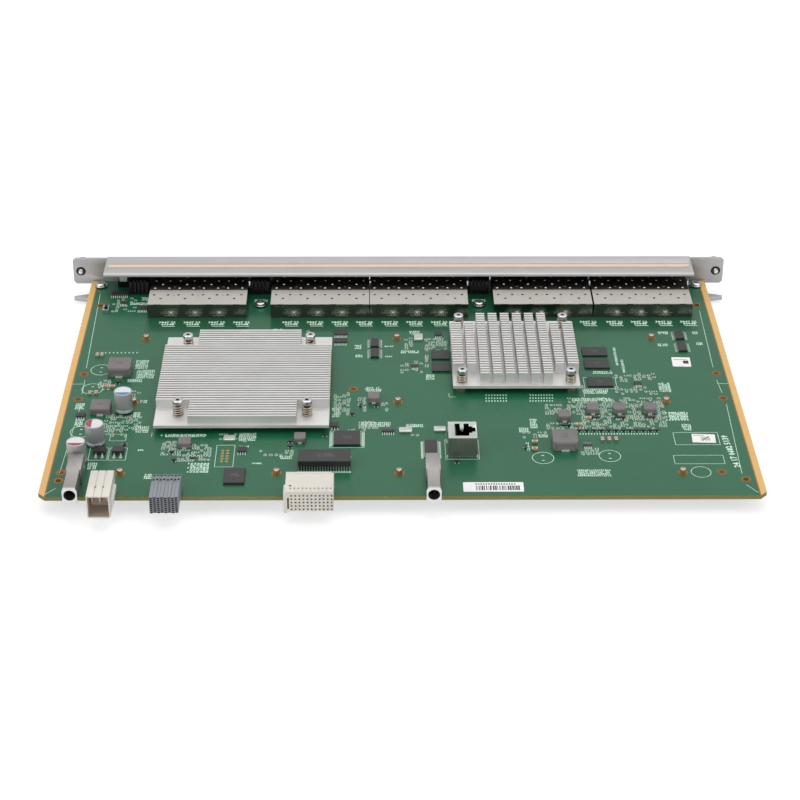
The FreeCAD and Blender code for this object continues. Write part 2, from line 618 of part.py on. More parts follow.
def make_sink_screws():
    """Long screws for the heat sinks, down into threaded spacers on the board."""
    screws = []
    spacers = []
    for number, (x, y, top) in enumerate(sink_screws()):
        screws.append(fused(f"SinkScrew{number}", [
            prism(f"SinkHead{number}", "head_sides", "sink_head", x, y, f"{top} - sink_head_high", top),
            threaded(f"SinkShank{number}", "screw_shank", x, y, "0", f"{top} - sink_head_high / 2")]))
        spacers.append(cut(f"Spacer{number}", prism(f"SpacerHex{number}", "6", "spacer_hex", x, y,
                                                    "0", "spacer_high"),
                           [threaded(f"SpacerBore{number}", "screw_shank + fit_gap", x, y, "-1",
                                     "spacer_high + 1")]))
    seat(group("SinkScrews", screws), "heatsink_screws")
    seat(group("SinkSpacers", spacers), "heatsink_spacers")


def coil(outer, wire, low, high, turns):
    """A spring of square wire, as a shell of flat facets round a helix on the Z axis."""
    steps = 5
    total = turns * steps
    climb = (high - low - wire) / total
    rings = []
    for index in range(total + 1):
        angle = 2 * math.pi * index / steps
        bottom = low + climb * index
        section = [(outer - wire, bottom), (outer, bottom), (outer, bottom + wire),
                   (outer - wire, bottom + wire)]
        rings.append([FreeCAD.Vector(r * math.cos(angle), r * math.sin(angle), z)
                      for r, z in section])
    corners = [(rings[0][3], rings[0][2], rings[0][1], rings[0][0]), tuple(rings[-1])]
    faces = [Part.Face(Part.makePolygon([*ends, ends[0]])) for ends in corners]
    for ring, following in zip(rings, rings[1:]):
        for side in range(4):
            a, b = ring[side], ring[(side + 1) % 4]
            c, d = following[(side + 1) % 4], following[side]
            faces.append(Part.Face(Part.makePolygon([a, b, c, a])))
            faces.append(Part.Face(Part.makePolygon([a, c, d, a])))
    solid = Part.Solid(Part.Shell(faces))
    if solid.Volume < 0:
        solid.reverse()
    return solid


def make_sink_springs():
    """The springs that press the heat sinks down, each in place round its screw."""
    springs = []
    for x, y, top in sink_screws():
        spring = coil(num("coil_outer"), num("coil_wire"), num(SINK_TOP), num(f"{top} - sink_head_high"),
                      int(num("coil_turns")))
        spring.translate(FreeCAD.Vector(num(x), num(y), 0))
        springs.append(spring)
    feature = doc.addObject("Part::Feature", "SinkSprings")
    feature.Shape = Part.Compound(springs)
    seat(feature, "heatsink_springs")


def make_chips():
    """The two switch chips under the heat sinks and the pads between them."""
    chips = []
    pads = []
    middles = (("big_x + big_wide / 2", "big_y + big_deep / 2", "big_chip"),
               (f"small_x + {SMALL_WIDE} / 2", f"small_y + {SMALL_DEEP} / 2", "small_chip"))
    top = "sink_under - pad_thick"
    for number, (x, y, side) in enumerate(middles):
        low = (f"{x} - {side} / 2", f"{y} - {side} / 2")
        high = (f"{x} + {side} / 2", f"{y} + {side} / 2")
        chips.append(block(f"Chip{number}", (*low, "0"), (*high, top)))
        pads.append(block(f"Pad{number}", (*low, top), (*high, "sink_under")))
    seat(group("Chips", chips), "switch_chips")
    seat(group("Pads", pads), "thermal_pads")


def make_power_connector():
    """The three-lobed power socket with an open well and its blades."""
    owner = body("PowerHousing")
    side = sketch(owner, "YZ_Plane", "PowerSide")
    outline(side, [("power_front", "power_bottom"), ("-board_lip", "power_bottom"),
                   ("-board_lip", "0"), ("power_back", "0"), ("power_back", "power_top"),
                   ("power_front", "power_top")])
    shell = pad(owner, side, "power_wide")
    well = sketch(owner, "XZ_Plane", "PowerWell", "-power_front")
    rectangle(well, "power_wall", "power_bottom + power_wall", "power_wide - power_wall",
              "power_top - power_wall")
    hollow = pocket(owner, well, "power_well")
    grooves = sketch(owner, "XZ_Plane", "PowerGrooves", "-power_front")
    for third in (1, 2):
        x = f"power_wide * {third} / 3"
        rectangle(grooves, f"{x} - power_groove / 2", "power_top - power_groove",
                  f"{x} + power_groove / 2", "power_top + 1")
    grooved = pocket(owner, grooves)
    chamfered(owner, grooved, "power_wall", lambda edge, c: edge.BoundBox.YLength > 15
              and near(c.z, "power_bottom"))
    seat(owner, "power_connector", "power_left")
    blades = []
    back = "power_front + power_well"
    for index in range(3):
        x = f"power_left + power_wide * ({index} + 0.5) / 3"
        z = "(power_top + power_bottom) / 2"
        blades.append(block(f"Blade{index}", (f"{x} - blade_thick / 2", f"{back} - blade_long",
                                              f"{z} - blade_high / 2"),
                            (f"{x} + blade_thick / 2", back, f"{z} + blade_high / 2")))
    seat(group("Blades", blades), "power_blades")


def make_signal_connector():
    """Contact wafers side by side, every second one set lower."""
    wafers = []
    for index in range(int(num("wafer_count"))):
        owner = body(f"Wafer{index}")
        drop = "wafer_step" if index % 2 == 0 else "0"
        side = sketch(owner, "YZ_Plane", f"WaferSide{index}")
        outline(side, [("signal_front", f"signal_bottom - {drop}"),
                       ("-board_lip", f"signal_bottom - {drop}"), ("-board_lip", "0"),
                       ("signal_back", "0"), ("signal_back", "signal_top - signal_ledge_drop"),
                       ("signal_back - signal_ledge", "signal_top - signal_ledge_drop"),
                       ("signal_back - signal_ledge", f"signal_top - {drop}"),
                       ("signal_front", f"signal_top - {drop}")])
        pad(owner, side, "wafer_pitch")
        slot = sketch(owner, "XZ_Plane", f"WaferSlot{index}", "-signal_front")
        rectangle(slot, "(wafer_pitch - wafer_slot) / 2", f"signal_bottom - {drop} + wafer_slot",
                  "(wafer_pitch + wafer_slot) / 2", f"signal_top - {drop} - wafer_slot")
        pocket(owner, slot, "wafer_slot_deep")
        owner.setExpression("Placement.Base.x", cells(f"signal_left + {index} * wafer_pitch"))
        wafers.append(owner)
    seat(group("SignalConnector", wafers), "signal_connector")


def make_plane_connector():
    """The backplane socket: a block of contact holes with a keying rib at its left."""
    owner = body("PlaneConnector")
    side = sketch(owner, "YZ_Plane", "PlaneSide")
    outline(side, [("plane_front", "plane_bottom"), ("-board_lip", "plane_bottom"),
                   ("-board_lip", "0"), ("plane_back", "0"), ("plane_back", "plane_top"),
                   ("plane_front", "plane_top")])
    pad(owner, side, "plane_wide")
    rib = sketch(owner, "XZ_Plane", "KeyRib", "-plane_front")
    rectangle(rib, "-key_wide / 2", "plane_bottom - key_drop", "key_wide / 2", "plane_top - key_drop")
    pad(owner, rib, "key_long", turned_round=True)
    slot = sketch(owner, "XZ_Plane", "KeySlot", "-plane_front")
    rectangle(slot, "key_wide / 2 + 0.2", "plane_bottom + 1.5 * key_drop",
              "key_wide / 2 + 0.2 + contact_hole", "plane_bottom + 8 * key_drop")
    pocket(owner, slot, "contact_deep")
    first = sketch(owner, "XZ_Plane", "ContactHoles", "-plane_front")
    for line in range(int(num("contact_rows"))):
        z = f"plane_bottom + contact_first_z + {line} * contact_pitch"
        rectangle(first, "contact_first_x - contact_hole / 2", z,
                  "contact_first_x + contact_hole / 2", f"{z} + contact_hole")
    row_of(owner, pocket(owner, first, "contact_deep"), "X_Axis", "contact_pitch",
           "contact_columns")
    seat(owner, "backplane_connector", "plane_left")


def make_guide_socket(label, name, x):
    """A cast guide socket: octagonal mouth, narrow neck, square tail and a blind bore."""
    owner = body(name)
    half = "guide_wide / 2"
    mouth = sketch(owner, "XZ_Plane", name + "Mouth", "-guide_front")
    outline(mouth, [(f"-{half} + guide_chamfer", "0"), (f"{half} - guide_chamfer", "0"),
                    (half, "guide_chamfer"), (half, "guide_high - guide_chamfer"),
                    (f"{half} - guide_chamfer / 2", "guide_high"),
                    (f"-{half} + guide_chamfer / 2", "guide_high"),
                    (f"-{half}", "guide_high - guide_chamfer"), (f"-{half}", "guide_chamfer")])
    pad(owner, mouth, "guide_flange", turned_round=True)
    neck = sketch(owner, "XZ_Plane", name + "Neck", "-guide_front")
    rectangle(neck, "-guide_neck / 2", "0", "guide_neck / 2", "guide_high - 0.2")
    pad(owner, neck, "guide_back - guide_front", turned_round=True)
    tail = sketch(owner, "XZ_Plane", name + "Tail", "-guide_back")
    rectangle(tail, f"-{half}", "0", half, "guide_high - 0.2")
    pad(owner, tail, "guide_back - guide_neck_end")
    bore = sketch(owner, "XZ_Plane", name + "Bore", "-guide_front")
    circle(bore, "0", "guide_bore_z", "guide_bore")
    pocket(owner, bore, "guide_bore_deep")
    seat(owner, label, x)


def make_jack():
    """The upward modular jack: folded shield, and the insert with its stepped well."""
    right = "jack_left + jack_wide"
    far = "jack_near + jack_deep"
    shell = block("JackShell", ("jack_left", "jack_near", "0"), (right, far, "jack_high"))
    hollow = block("JackHollow", ("jack_left + jack_wall", "jack_near + jack_wall", "-1"),
                   (f"{right} - jack_wall", f"{far} - jack_wall", "jack_high - jack_wall"))
    seat(cut("JackShield", shell, [hollow] + jack_well("Shield", "jack_high - 1", "jack_high + 1")),
         "jack_shield")
    insert = block("JackInsert", ("jack_left + jack_wall", "jack_near + jack_wall", "0"),
                   (f"{right} - jack_wall", f"{far} - jack_wall", "jack_high - jack_wall"))
    seat(cut("JackCore", insert, jack_well("Insert", "well_floor", "jack_high + 1")), "jack_insert")


def jack_well(name, low, high):
    """The plug well with the two steps of its latch slot, as three tools in one."""
    x = "(jack_left + well_left)"
    y = "(jack_near + well_near)"
    middle = f"({y} + well_deep / 2)"
    return [fused(name + "Well", [
        block(name + "WellBox", (x, y, low), (f"{x} + well_wide", f"{y} + well_deep", high)),
        block(name + "LatchOuter", (f"{x} + well_wide - 1", f"{middle} - latch_deep / 2", low),
              (f"{x} + well_wide + latch_wide", f"{middle} + latch_deep / 2", high)),
        block(name + "LatchInner", (f"{x} + well_wide - 1", f"{middle} - latch_inner_deep / 2", low),
              (f"{x} + well_wide + 2 * latch_wide", f"{middle} + latch_inner_deep / 2", high))])]


def make_capacitors():
    """Electrolytic cans with a bevelled rim."""
    cans = []
    for number, (x, y) in enumerate([(-148.6, 84.0), (-160.0, 50.6), (-167.4, 33.0)]):
        owner = body(f"Can{number}")
        turned(owner, f"CanSection{number}", [
            ("0", "0"), ("can_radius", "0"), ("can_radius", "can_high - can_bevel"),
            ("can_radius - can_bevel", "can_high"), ("0", "can_high")])
        owner.setExpression("Placement.Base.x", cells(x))
        owner.setExpression("Placement.Base.y", cells(y))
        cans.append(owner)
    seat(group("Cans", cans), "electrolytic_capacitors")


def components(label, places, lift=0.0, corner=None):
    """A group of moulded bodies, each given by its two plan corners and its height."""
    members = []
    for number, (x0, y0, x1, y1, high) in enumerate(places):
        solid = block(f"{label}_{number}", (str(x0), str(y0), str(lift)), (str(x1), str(y1), str(high)))
        if corner is not None:
            bevel = doc.addObject("Part::Chamfer", f"{label}_bevel_{number}")
            bevel.Base = solid
            doc.recompute()
            upper = [index for index, edge in enumerate(solid.Shape.Edges, 1)
                     if edge.BoundBox.ZLength > high / 2]
            bevel.Edges = [(index, num(corner), num(corner)) for index in upper]
            solid = bevel
        members.append(solid)
    seat(group(label.title(), members), label)


def make_components():
    """The flat parts soldered on the board, group by group."""
    components("power_inductors", [(-161.5, 120.0, -149.0, 132.6, 5.6), (-166.4, 79.2, -155.8, 89.8, 4.0),
                                   (78.4, 42.5, 91.4, 55.3, 5.5)], corner="part_corner")
    components("small_inductors", [(83.4, 71.6, 89.9, 78.4, 3.6), (99.2, 79.2, 105.7, 86.0, 3.6),
                                   (113.5, 79.2, 120.0, 86.0, 3.6), (129.8, 79.2, 136.3, 86.0, 3.6),
                                   (-116.7, 45.5, -110.2, 52.0, 3.4), (-56.5, 50.6, -50.6, 57.0, 3.0),
                                   (-18.0, 91.4, -11.8, 98.0, 3.6)], corner="part_corner")
    components("memory_chips", [(102.4, 142.0, 116.3, 151.5, 1.1), (102.4, 128.0, 116.3, 137.5, 1.1),
                                (102.4, 108.0, 116.3, 117.5, 1.1), (17.5, 138.5, 27.6, 148.0, 1.1),
                                (17.5, 124.6, 27.6, 134.0, 1.1)])
    components("magnetics_module", [(-53.6, 23.8, -26.8, 35.4, 5.9)])
    components("controller_chips", [(-35.7, 47.4, -22.0, 61.4, 1.4), (-91.2, 10.6, -80.3, 24.8, 1.4),
                                    (11.6, 35.5, 18.2, 52.0, 1.2)])
    components("small_chips", [(157.2, 161.5, 162.0, 170.5, 1.3), (157.2, 147.5, 162.0, 157.0, 1.3),
                               (-16.6, 153.0, -12.1, 162.0, 1.3), (-16.6, 141.0, -12.1, 150.5, 1.3),
                               (-37.6, 166.6, -30.0, 171.5, 1.4), (-37.6, 157.4, -30.0, 162.2, 1.4),
                               (-170.0, 216.0, -160.0, 219.5, 1.4)])
    components("power_transistors", [(-160.0, 39.6, -153.7, 45.2, 2.2), (-150.5, 39.6, -144.4, 45.2, 2.2)])
    components("metal_cans", [(-1.6, 60.0, 5.4, 64.6, 1.5), (16.8, 61.0, 23.2, 65.5, 1.5),
                              (8.0, 160.0, 13.0, 167.2, 1.6), (-93.6, 51.6, -87.2, 56.6, 1.8)])
    components("chip_capacitors", [(103.4, 51.5, 106.6, 53.5, 1.6), (108.6, 51.5, 111.8, 53.5, 1.6),
                                   (92.6, 66.6, 95.8, 68.6, 1.6), (-170.2, 100.2, -168.0, 102.4, 1.6),
                                   (-166.8, 100.4, -164.6, 102.6, 1.6)])


def make_reset_switch():
    """The small press switch near the left edge."""
    right = "switch_x + switch_wide"
    far = "switch_y + switch_deep"
    mid_x = "(switch_x + switch_wide / 2)"
    mid_y = "(switch_y + switch_deep / 2)"
    case = block("SwitchCase", ("switch_x", "switch_y", "0"), (right, far, "switch_high"))
    well = block("SwitchWell", (f"{mid_x} - button_wide / 2 - fit_gap",
                                f"{mid_y} - button_deep / 2 - fit_gap",
                                "switch_high - button_sunk - button_travel - 0.1"),
                 (f"{mid_x} + button_wide / 2 + fit_gap", f"{mid_y} + button_deep / 2 + fit_gap",
                  "switch_high + 1"))
    seat(cut("SwitchBody", case, [well]), "reset_switch_body")
    seat_block("reset_button", (f"{mid_x} - button_wide / 2", f"{mid_y} - button_deep / 2",
                                "switch_high - button_sunk"),
               (f"{mid_x} + button_wide / 2", f"{mid_y} + button_deep / 2",
                "switch_high + button_rise"))


def make_lever(side, label):
    """An ejector lever: claw beyond the board, hub on the pivot, handle along the panel."""
    owner = body(label.title())

    def at(x, y):
        return (f"{side} * ({x})", y)

    inner = f"({PANEL_FRONT} - corner_screw_y + handle_gap)"
    outer = f"({inner} + handle_deep)"
    drawing = sketch(owner, "XY_Plane", label + "_outline")
    outline(drawing, [at("-hub_half", "-hub_half"), at("hub_half", "-hub_half"),
                      at("claw_reach", "-claw_back"), at("claw_reach", "claw_tip - claw_back"),
                      at("arm_outer", "hub_half / 2"), at("arm_outer", outer),
                      at("-handle_long", outer), at("-handle_long", inner),
                      at("-hub_half", inner)])
    pad(owner, drawing, "lever_thick")
    grip = sketch(owner, "XY_Plane", label + "_grip")
    rectangle(grip, f"{side} * (-handle_long)", f"{outer} - grip_thick",
              f"{side} * (grip_long - handle_long)", outer)
    pad(owner, grip, "lever_thick + grip_rise")
    drawing_bore = sketch(owner, "XY_Plane", label + "_bore")
    circle(drawing_bore, "0", "0", "pivot_radius + fit_gap")
    bored = pocket(owner, drawing_bore, turned_round=True)
    chamfered(owner, bored, "lever_round", lambda edge, c: near(edge.BoundBox.ZLength, "lever_thick")
              and edge.BoundBox.XLength < 0.01
              and (near(abs(c.x), "hub_half") or near(abs(c.x), "arm_outer")) and abs(c.y) > 4.9)
    seat(owner, label, f"{side} * corner_screw_x", "corner_screw_y", f"{BRACKET_TOP} + lever_gap")


def make_captive_screw(side, name):
    """One captive panel screw along Y, with the spring under its knob and its clip."""
    title = name.title()

    def facing_panel(part, label):
        part.Placement = FreeCAD.Placement(FreeCAD.Vector(),
                                           FreeCAD.Rotation(FreeCAD.Vector(1, 0, 0), -90))
        seat(part, label, f"{side} * {CAPTIVE_X}", PANEL_REAR, "captive_z")

    knob_low = "panel_thick + knob_from_panel"
    knob = prism(f"Knob{title}", "head_sides", "knob_radius", "0", "0", knob_low,
                 f"{knob_low} + knob_long")
    shank = rod(f"CaptiveShank{title}", "captive_shank", "0", "0", "-captive_tip",
                f"{knob_low} + knob_long / 2")
    facing_panel(group(f"CaptiveScrew{title}", [fused(f"CaptiveSolid{title}", [knob, shank])]),
                 f"captive_screw_{name}")
    ring = cut(f"ClipRing{title}", prism(f"ClipHex{title}", "6", "clip_radius", "0", "0",
                                         "-clip_thick", "0"),
               [prism(f"ClipBore{title}", "6", "(captive_shank + fit_gap) / cos(30)", "0", "0",
                      "-clip_thick - 1", "1")])
    facing_panel(group(f"Clip{title}", [ring]), f"screw_clip_{name}")
    spring = doc.addObject("Part::Feature", f"CaptiveSpring{title}")
    spring.Shape = coil(num("captive_coil"), num("captive_wire"), num("panel_thick"),
                        num(knob_low), int(num("captive_turns")))
    facing_panel(spring, f"screw_spring_{name}")


make_board()
make_posts()
make_front_panel()
make_gasket()
make_bracket()
make_pivots()
make_board_screws()
for cage_number, cage_left in enumerate(CAGES, 1):
    make_cage(cage_number, cage_left)
make_lids()
make_dividers()
make_host_connectors()
make_led_blocks()
make_lenses()
make_status_beacon()
make_big_sink()
make_small_sink()
make_sink_screws()
make_sink_springs()
make_chips()
make_power_connector()
make_signal_connector()
make_plane_connector()
make_guide_socket("guide_socket_left", "GuideLeft", "guide_left")
make_guide_socket("guide_socket_right", "GuideRight", "guide_right")
make_jack()
make_capacitors()
make_components()
make_reset_switch()
make_lever("-1", "ejector_left")
make_lever("1", "ejector_right")
make_captive_screw("-1", "left")
make_captive_screw("1", "right")

doc.recompute()
faults = [item.Name for item in doc.Objects
          if "Invalid" in item.State or "Error" in item.State]
faults += [part.Label for part in nodes if part.Shape.isNull() or not part.Shape.isValid()]
if faults:
    raise RuntimeError("failed objects: " + ", ".join(faults))

os.makedirs("parts", exist_ok=True)
for part in nodes:
    part.Shape.exportStep(f"parts/{part.Label}.step")
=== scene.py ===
import math
import random

import bmesh
import bpy
from bpy.props import FloatProperty, FloatVectorProperty, IntProperty, PointerProperty
from mathutils import Matrix, Vector


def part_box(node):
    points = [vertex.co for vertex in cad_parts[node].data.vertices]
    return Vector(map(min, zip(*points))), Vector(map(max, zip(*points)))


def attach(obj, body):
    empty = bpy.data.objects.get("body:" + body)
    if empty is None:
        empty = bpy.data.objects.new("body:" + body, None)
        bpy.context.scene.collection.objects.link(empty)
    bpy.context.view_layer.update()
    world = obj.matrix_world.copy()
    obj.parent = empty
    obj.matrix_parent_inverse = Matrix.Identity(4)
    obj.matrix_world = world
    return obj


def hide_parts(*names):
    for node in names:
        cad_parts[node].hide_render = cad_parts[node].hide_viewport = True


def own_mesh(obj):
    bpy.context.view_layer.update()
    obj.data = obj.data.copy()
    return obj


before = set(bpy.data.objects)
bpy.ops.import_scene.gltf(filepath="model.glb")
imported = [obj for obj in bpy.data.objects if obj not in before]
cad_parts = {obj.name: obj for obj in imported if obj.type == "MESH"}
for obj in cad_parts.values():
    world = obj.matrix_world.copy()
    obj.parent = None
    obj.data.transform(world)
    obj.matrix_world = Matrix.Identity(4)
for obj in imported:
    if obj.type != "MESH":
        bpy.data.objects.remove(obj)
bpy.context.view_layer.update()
BOARD_LOW, BOARD_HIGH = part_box("board")

# Measures below are millimetres on the card: X to the right, Y from the near board edge
# towards the front panel, Z up from the top face of the board.
MM = 0.001
DATUM = Vector((0, BOARD_LOW[1], BOARD_HIGH[2]))

bl_info = {
    "name": "Switch line card looks",
    "version": (1, 0, 0),
    "blender": (4, 5, 0),
    "location": "3D View > Sidebar > Line Card",
    "description": "Finishes, small parts, print and studio for a switch line card",
    "category": "Object",
}


def linear(red, green, blue):
    """A colour as the eye sees it, 0 to 255, in the renderer's own scale."""
    shades = []
    for level in (red, green, blue):
        part = level / 255
        shades.append(part / 12.92 if part <= 0.04045 else ((part + 0.055) / 1.055) ** 2.4)
    return (*shades, 1.0)


def colour(name, description, *shade):
    """A colour property."""
    return FloatVectorProperty(name=name, description=description, subtype="COLOR", size=4,
                               min=0.0, max=1.0, default=linear(*shade))


def length(name, description, millimetres):
    """A length property, kept in metres and given in millimetres."""
    return FloatProperty(name=name, description=description, unit="LENGTH", precision=5,
                         default=millimetres * MM)


class CardColours(bpy.types.PropertyGroup):
    """Colours of the card's finishes."""
    mask: colour("Solder mask", "Green lacquer over the bare board", 28, 98, 66)
    mask_dark: colour("Solder mask off copper", "Darker green where no copper plane lies",
                      16, 79, 51)
    print: colour("Silkscreen", "Print on the board", 214, 244, 224)
    laminate: colour("Laminate", "Cut edge of the board", 122, 118, 62)
    gold: colour("Gold", "Plated edge strips", 226, 180, 108)
    gold_line: colour("Strip border", "Bare line beside the gold strips", 150, 104, 48)
    copper: colour("Copper ring", "Rings round the holes and posts", 156, 108, 52)
    aluminium: colour("Aluminium", "Heat sinks", 217, 216, 214)
    panel: colour("Panel", "Front panel and its rail", 184, 183, 183)
    cage: colour("Cage sheet", "Bright lids of the module cages", 206, 202, 194)
    # Painted shade: the cage walls are the lids' own sheet, given this darker colour for the shade
    # on them
    cage_wall: colour("Cage walls", "Dull walls of the module cages", 124, 121, 113)
    steel: colour("Steel", "Screws", 214, 214, 216)
    spring: colour("Spring wire", "Wire of the springs", 196, 184, 166)
    brass: colour("Brass", "Posts under the board", 194, 174, 154)
    zinc: colour("Zinc", "Cast guide sockets", 164, 161, 158)
    tin: colour("Tin", "Solder and component ends", 206, 214, 206)
    white: colour("White moulding", "Power and backplane connectors", 217, 213, 204)
    grey: colour("Grey moulding", "Wafer connector", 138, 142, 149)
    black: colour("Black moulding", "Indicator blocks and jack insert", 12, 12, 13)
    chip: colour("Chip", "Moulded chip bodies", 42, 41, 42)
    core: colour("Inductor", "Pressed inductor bodies", 118, 113, 113)
    can: colour("Capacitor can", "Sleeved cans of the capacitors", 176, 176, 179)
    pad: colour("Solder pads", "Tinned pads on the board", 190, 224, 204)
    # Darker than the tin on the shield's top: painted shade on the shield's sides
    jack: colour("Jack shield", "Plate of the modular jack", 146, 144, 137)
    # Painted shade: the colour given to the insides of the pale connectors and other hollows
    well: colour("Socket wells", "Inside of the pale connectors", 148, 128, 108)
    tan: colour("Ceramic", "Chip capacitors", 176, 132, 104)
    gasket: colour("Gasket", "Conductive cloth strip", 226, 208, 186)
    red: colour("Red mark", "Mark on two capacitors", 158, 70, 82)
    blue: colour("Blue mark", "Mark on one capacitor", 62, 130, 168)
    label: colour("Label", "Paper labels", 240, 240, 236)


class CardSizes(bpy.types.PropertyGroup):
    """Sizes of the parts that are modelled here, and the camera."""
    vent_radius: length("Vent radius", "Round vents in the cage lids", 0.8)
    spring_wire: length("Spring wire", "Radius of the wire of the springs", 0.36)
    spring_turns: IntProperty(name="Spring turns", description="Turns of each heat sink spring",
                              default=4, min=2, max=9)
    strip_width: length("Gold strip", "Width of the gold strips along the board's sides", 3.3)
    print_height: length("Print height", "Thickness of the print", 0.03)
    seed: IntProperty(name="Scatter", description="Start of the scattered small parts", default=7)
    camera_place: FloatVectorProperty(
        name="Camera place", description="Where the camera stands", unit="LENGTH", size=3,
        default=(-0.0129, -0.9876, 0.5821))
    camera_pitch: FloatProperty(name="Camera pitch", description="How far it looks down",
                                unit="ROTATION", default=math.radians(30.598))
    camera_yaw: FloatProperty(name="Camera yaw", description="How far it looks to the right",
                              unit="ROTATION", default=math.radians(0.724))
    camera_roll: FloatProperty(name="Camera roll", description="How far it leans",
                               unit="ROTATION", default=math.radians(0.265))
    lens: FloatProperty(name="Lens", description="Focal length in millimetres", default=93.43)


def grey(level):
    """A grey of one level, in the renderer's own scale."""
    return (level, level, level, 1)


def colours():
    """The colours that are set in the sidebar."""
    return bpy.context.scene.card_colours


def sizes():
    """The sizes that are set in the sidebar."""
    return bpy.context.scene.card_sizes


class Socket:
    """One output in a material, so that its maths reads as an expression."""

    def __init__(self, finish, socket):
        self.finish = finish
        self.socket = socket

    def maths(self, operation, *values):
        return self.finish.node("ShaderNodeMath", {"operation": operation}, values)

    def __add__(self, other):
        return self.maths("ADD", self, other)

    __radd__ = __add__

    def __sub__(self, other):
        return self.maths("SUBTRACT", self, other)

    def __rsub__(self, other):
        return self.maths("SUBTRACT", other, self)

    def __mul__(self, other):
        return self.maths("MULTIPLY", self, other)

    __rmul__ = __mul__

    def __gt__(self, other):
        return self.maths("GREATER_THAN", self, other)

    def __lt__(self, other):
        return self.maths("LESS_THAN", self, other)

    def __abs__(self):
        return self.maths("ABSOLUTE", self)


class Finish:
    """A material in the making, or the nodes of a world."""

    def __init__(self, name, world=None):
        self.material = world or bpy.data.materials.new(name)
        self.material.use_nodes = True
        self.tree = self.material.node_tree
        self.tree.nodes.clear()

    def node(self, kind, settings=None, sockets=(), output=0):
        """Adds a node: its settings first, then the values or links of its sockets."""
        made = self.tree.nodes.new(kind)
        for name, value in (settings or {}).items():
            if name == "stops":
                for element, (place, level) in zip(made.color_ramp.elements, value):
                    element.position = place
                    element.color = grey(level)
            else:
                setattr(made, name, value)
        pairs = sockets.items() if isinstance(sockets, dict) else enumerate(sockets)
        for name, value in pairs:
            if isinstance(value, Socket):
                self.tree.links.new(value.socket, made.inputs[name])
            else:
                made.inputs[name].default_value = value
        return Socket(self, made.outputs[output]) if made.outputs else None

    def place(self):
        """The place on the object, which is also the place on the card."""
        return self.node("ShaderNodeTexCoord", output="Object")

    def along(self, axis, vector=None):
        """How far the place, or another vector, reaches along X, Y or Z."""
        return self.node("ShaderNodeSeparateXYZ", {}, [vector or self.place()], output=axis)

    def noise(self, scale, detail=3.0, stretch=(1, 1, 1)):
        """A soft irregular pattern; the scale is in grains a metre."""
        spread = self.node("ShaderNodeMapping", {}, {"Vector": self.place(), "Scale": stretch})
        return self.node("ShaderNodeTexNoise", {},
                         {"Vector": spread, "Scale": scale, "Detail": detail, "Roughness": 0.55})

    def ramp(self, value, low, high):
        """A value spread from nothing at low to full at high."""
        return self.node("ShaderNodeValToRGB", {"stops": ((low, 0.0), (high, 1.0))}, [value])

    def mix(self, amount, first, second):
        """One colour going over to another, by the node's numbered colour sockets."""
        return self.node("ShaderNodeMix", {"data_type": "RGBA"}, {0: amount, 6: first, 7: second},
                         output=2)

    def bump(self, height, depth):
        """A normal from a height pattern; the depth is in metres."""
        return self.node("ShaderNodeBump", {}, {"Height": height, "Distance": depth,
                                                "Strength": 0.6})

    def close(self, **values):
        """Ends the material with its surface shader."""
        names = {key.replace("_", " ").title().replace("Ior", "IOR"): value
                 for key, value in values.items()}
        surface = self.node("ShaderNodeBsdfPrincipled", {}, names)
        self.node("ShaderNodeOutputMaterial", {}, {"Surface": surface})


def shaded(shade, factor):
    """A colour made lighter or darker."""
    return (*(min(1.0, level * factor) for level in shade[:3]), 1.0)


def moulded(name, shade, roughness=0.5, grain=900.0, depth=0.00004, shine=0.5):
    """Moulded plastic or ceramic with a fine grain and slightly uneven colour."""
    finish = Finish(name)
    cloud = finish.noise(60.0)
    fine = finish.noise(grain * 2)
    body = finish.mix(cloud, shaded(shade, 0.9), shaded(shade, 1.1))
    finish.close(base_color=body, roughness=roughness + 0.12 * (fine - 0.5),
                 normal=finish.bump(fine, depth), specular_ior_level=shine)


def metal(name, shade, roughness=0.3, stretch=(1, 1, 1), grain=500.0, depth=0.00002, level=1.0):
    """Metal whose polish varies, drawn out along one axis where it was brushed."""
    finish = Finish(name)
    streak = finish.noise(grain, 4.0, stretch)
    cloud = finish.noise(25.0)
    body = finish.mix(streak, shaded(shade, 0.88), shaded(shade, 1.06))
    polish = roughness + 0.14 * (cloud - 0.5) + 0.1 * (streak - 0.5)
    finish.close(base_color=body, metallic=level, roughness=polish,
                 normal=finish.bump(streak, depth))


# Places on the card in metres: the dark strip without a copper plane and the land within it,
# the bundle of traces between the heat sinks, and where the rail starts to cover the lids,
# which is where the lids' painted shade begins
BARE_NEAR, BARE_LEFT, BARE_RIGHT = 0.1718, -0.1465, 0.1715
LAND_X, LAND_HALF = -0.081, 0.0065
BUNDLE_Y, BUNDLE_HALF_LENGTH, BUNDLE_HALF_WIDTH = 0.112, 0.022, 0.03
RAIL_SHADE_FROM = 0.2069


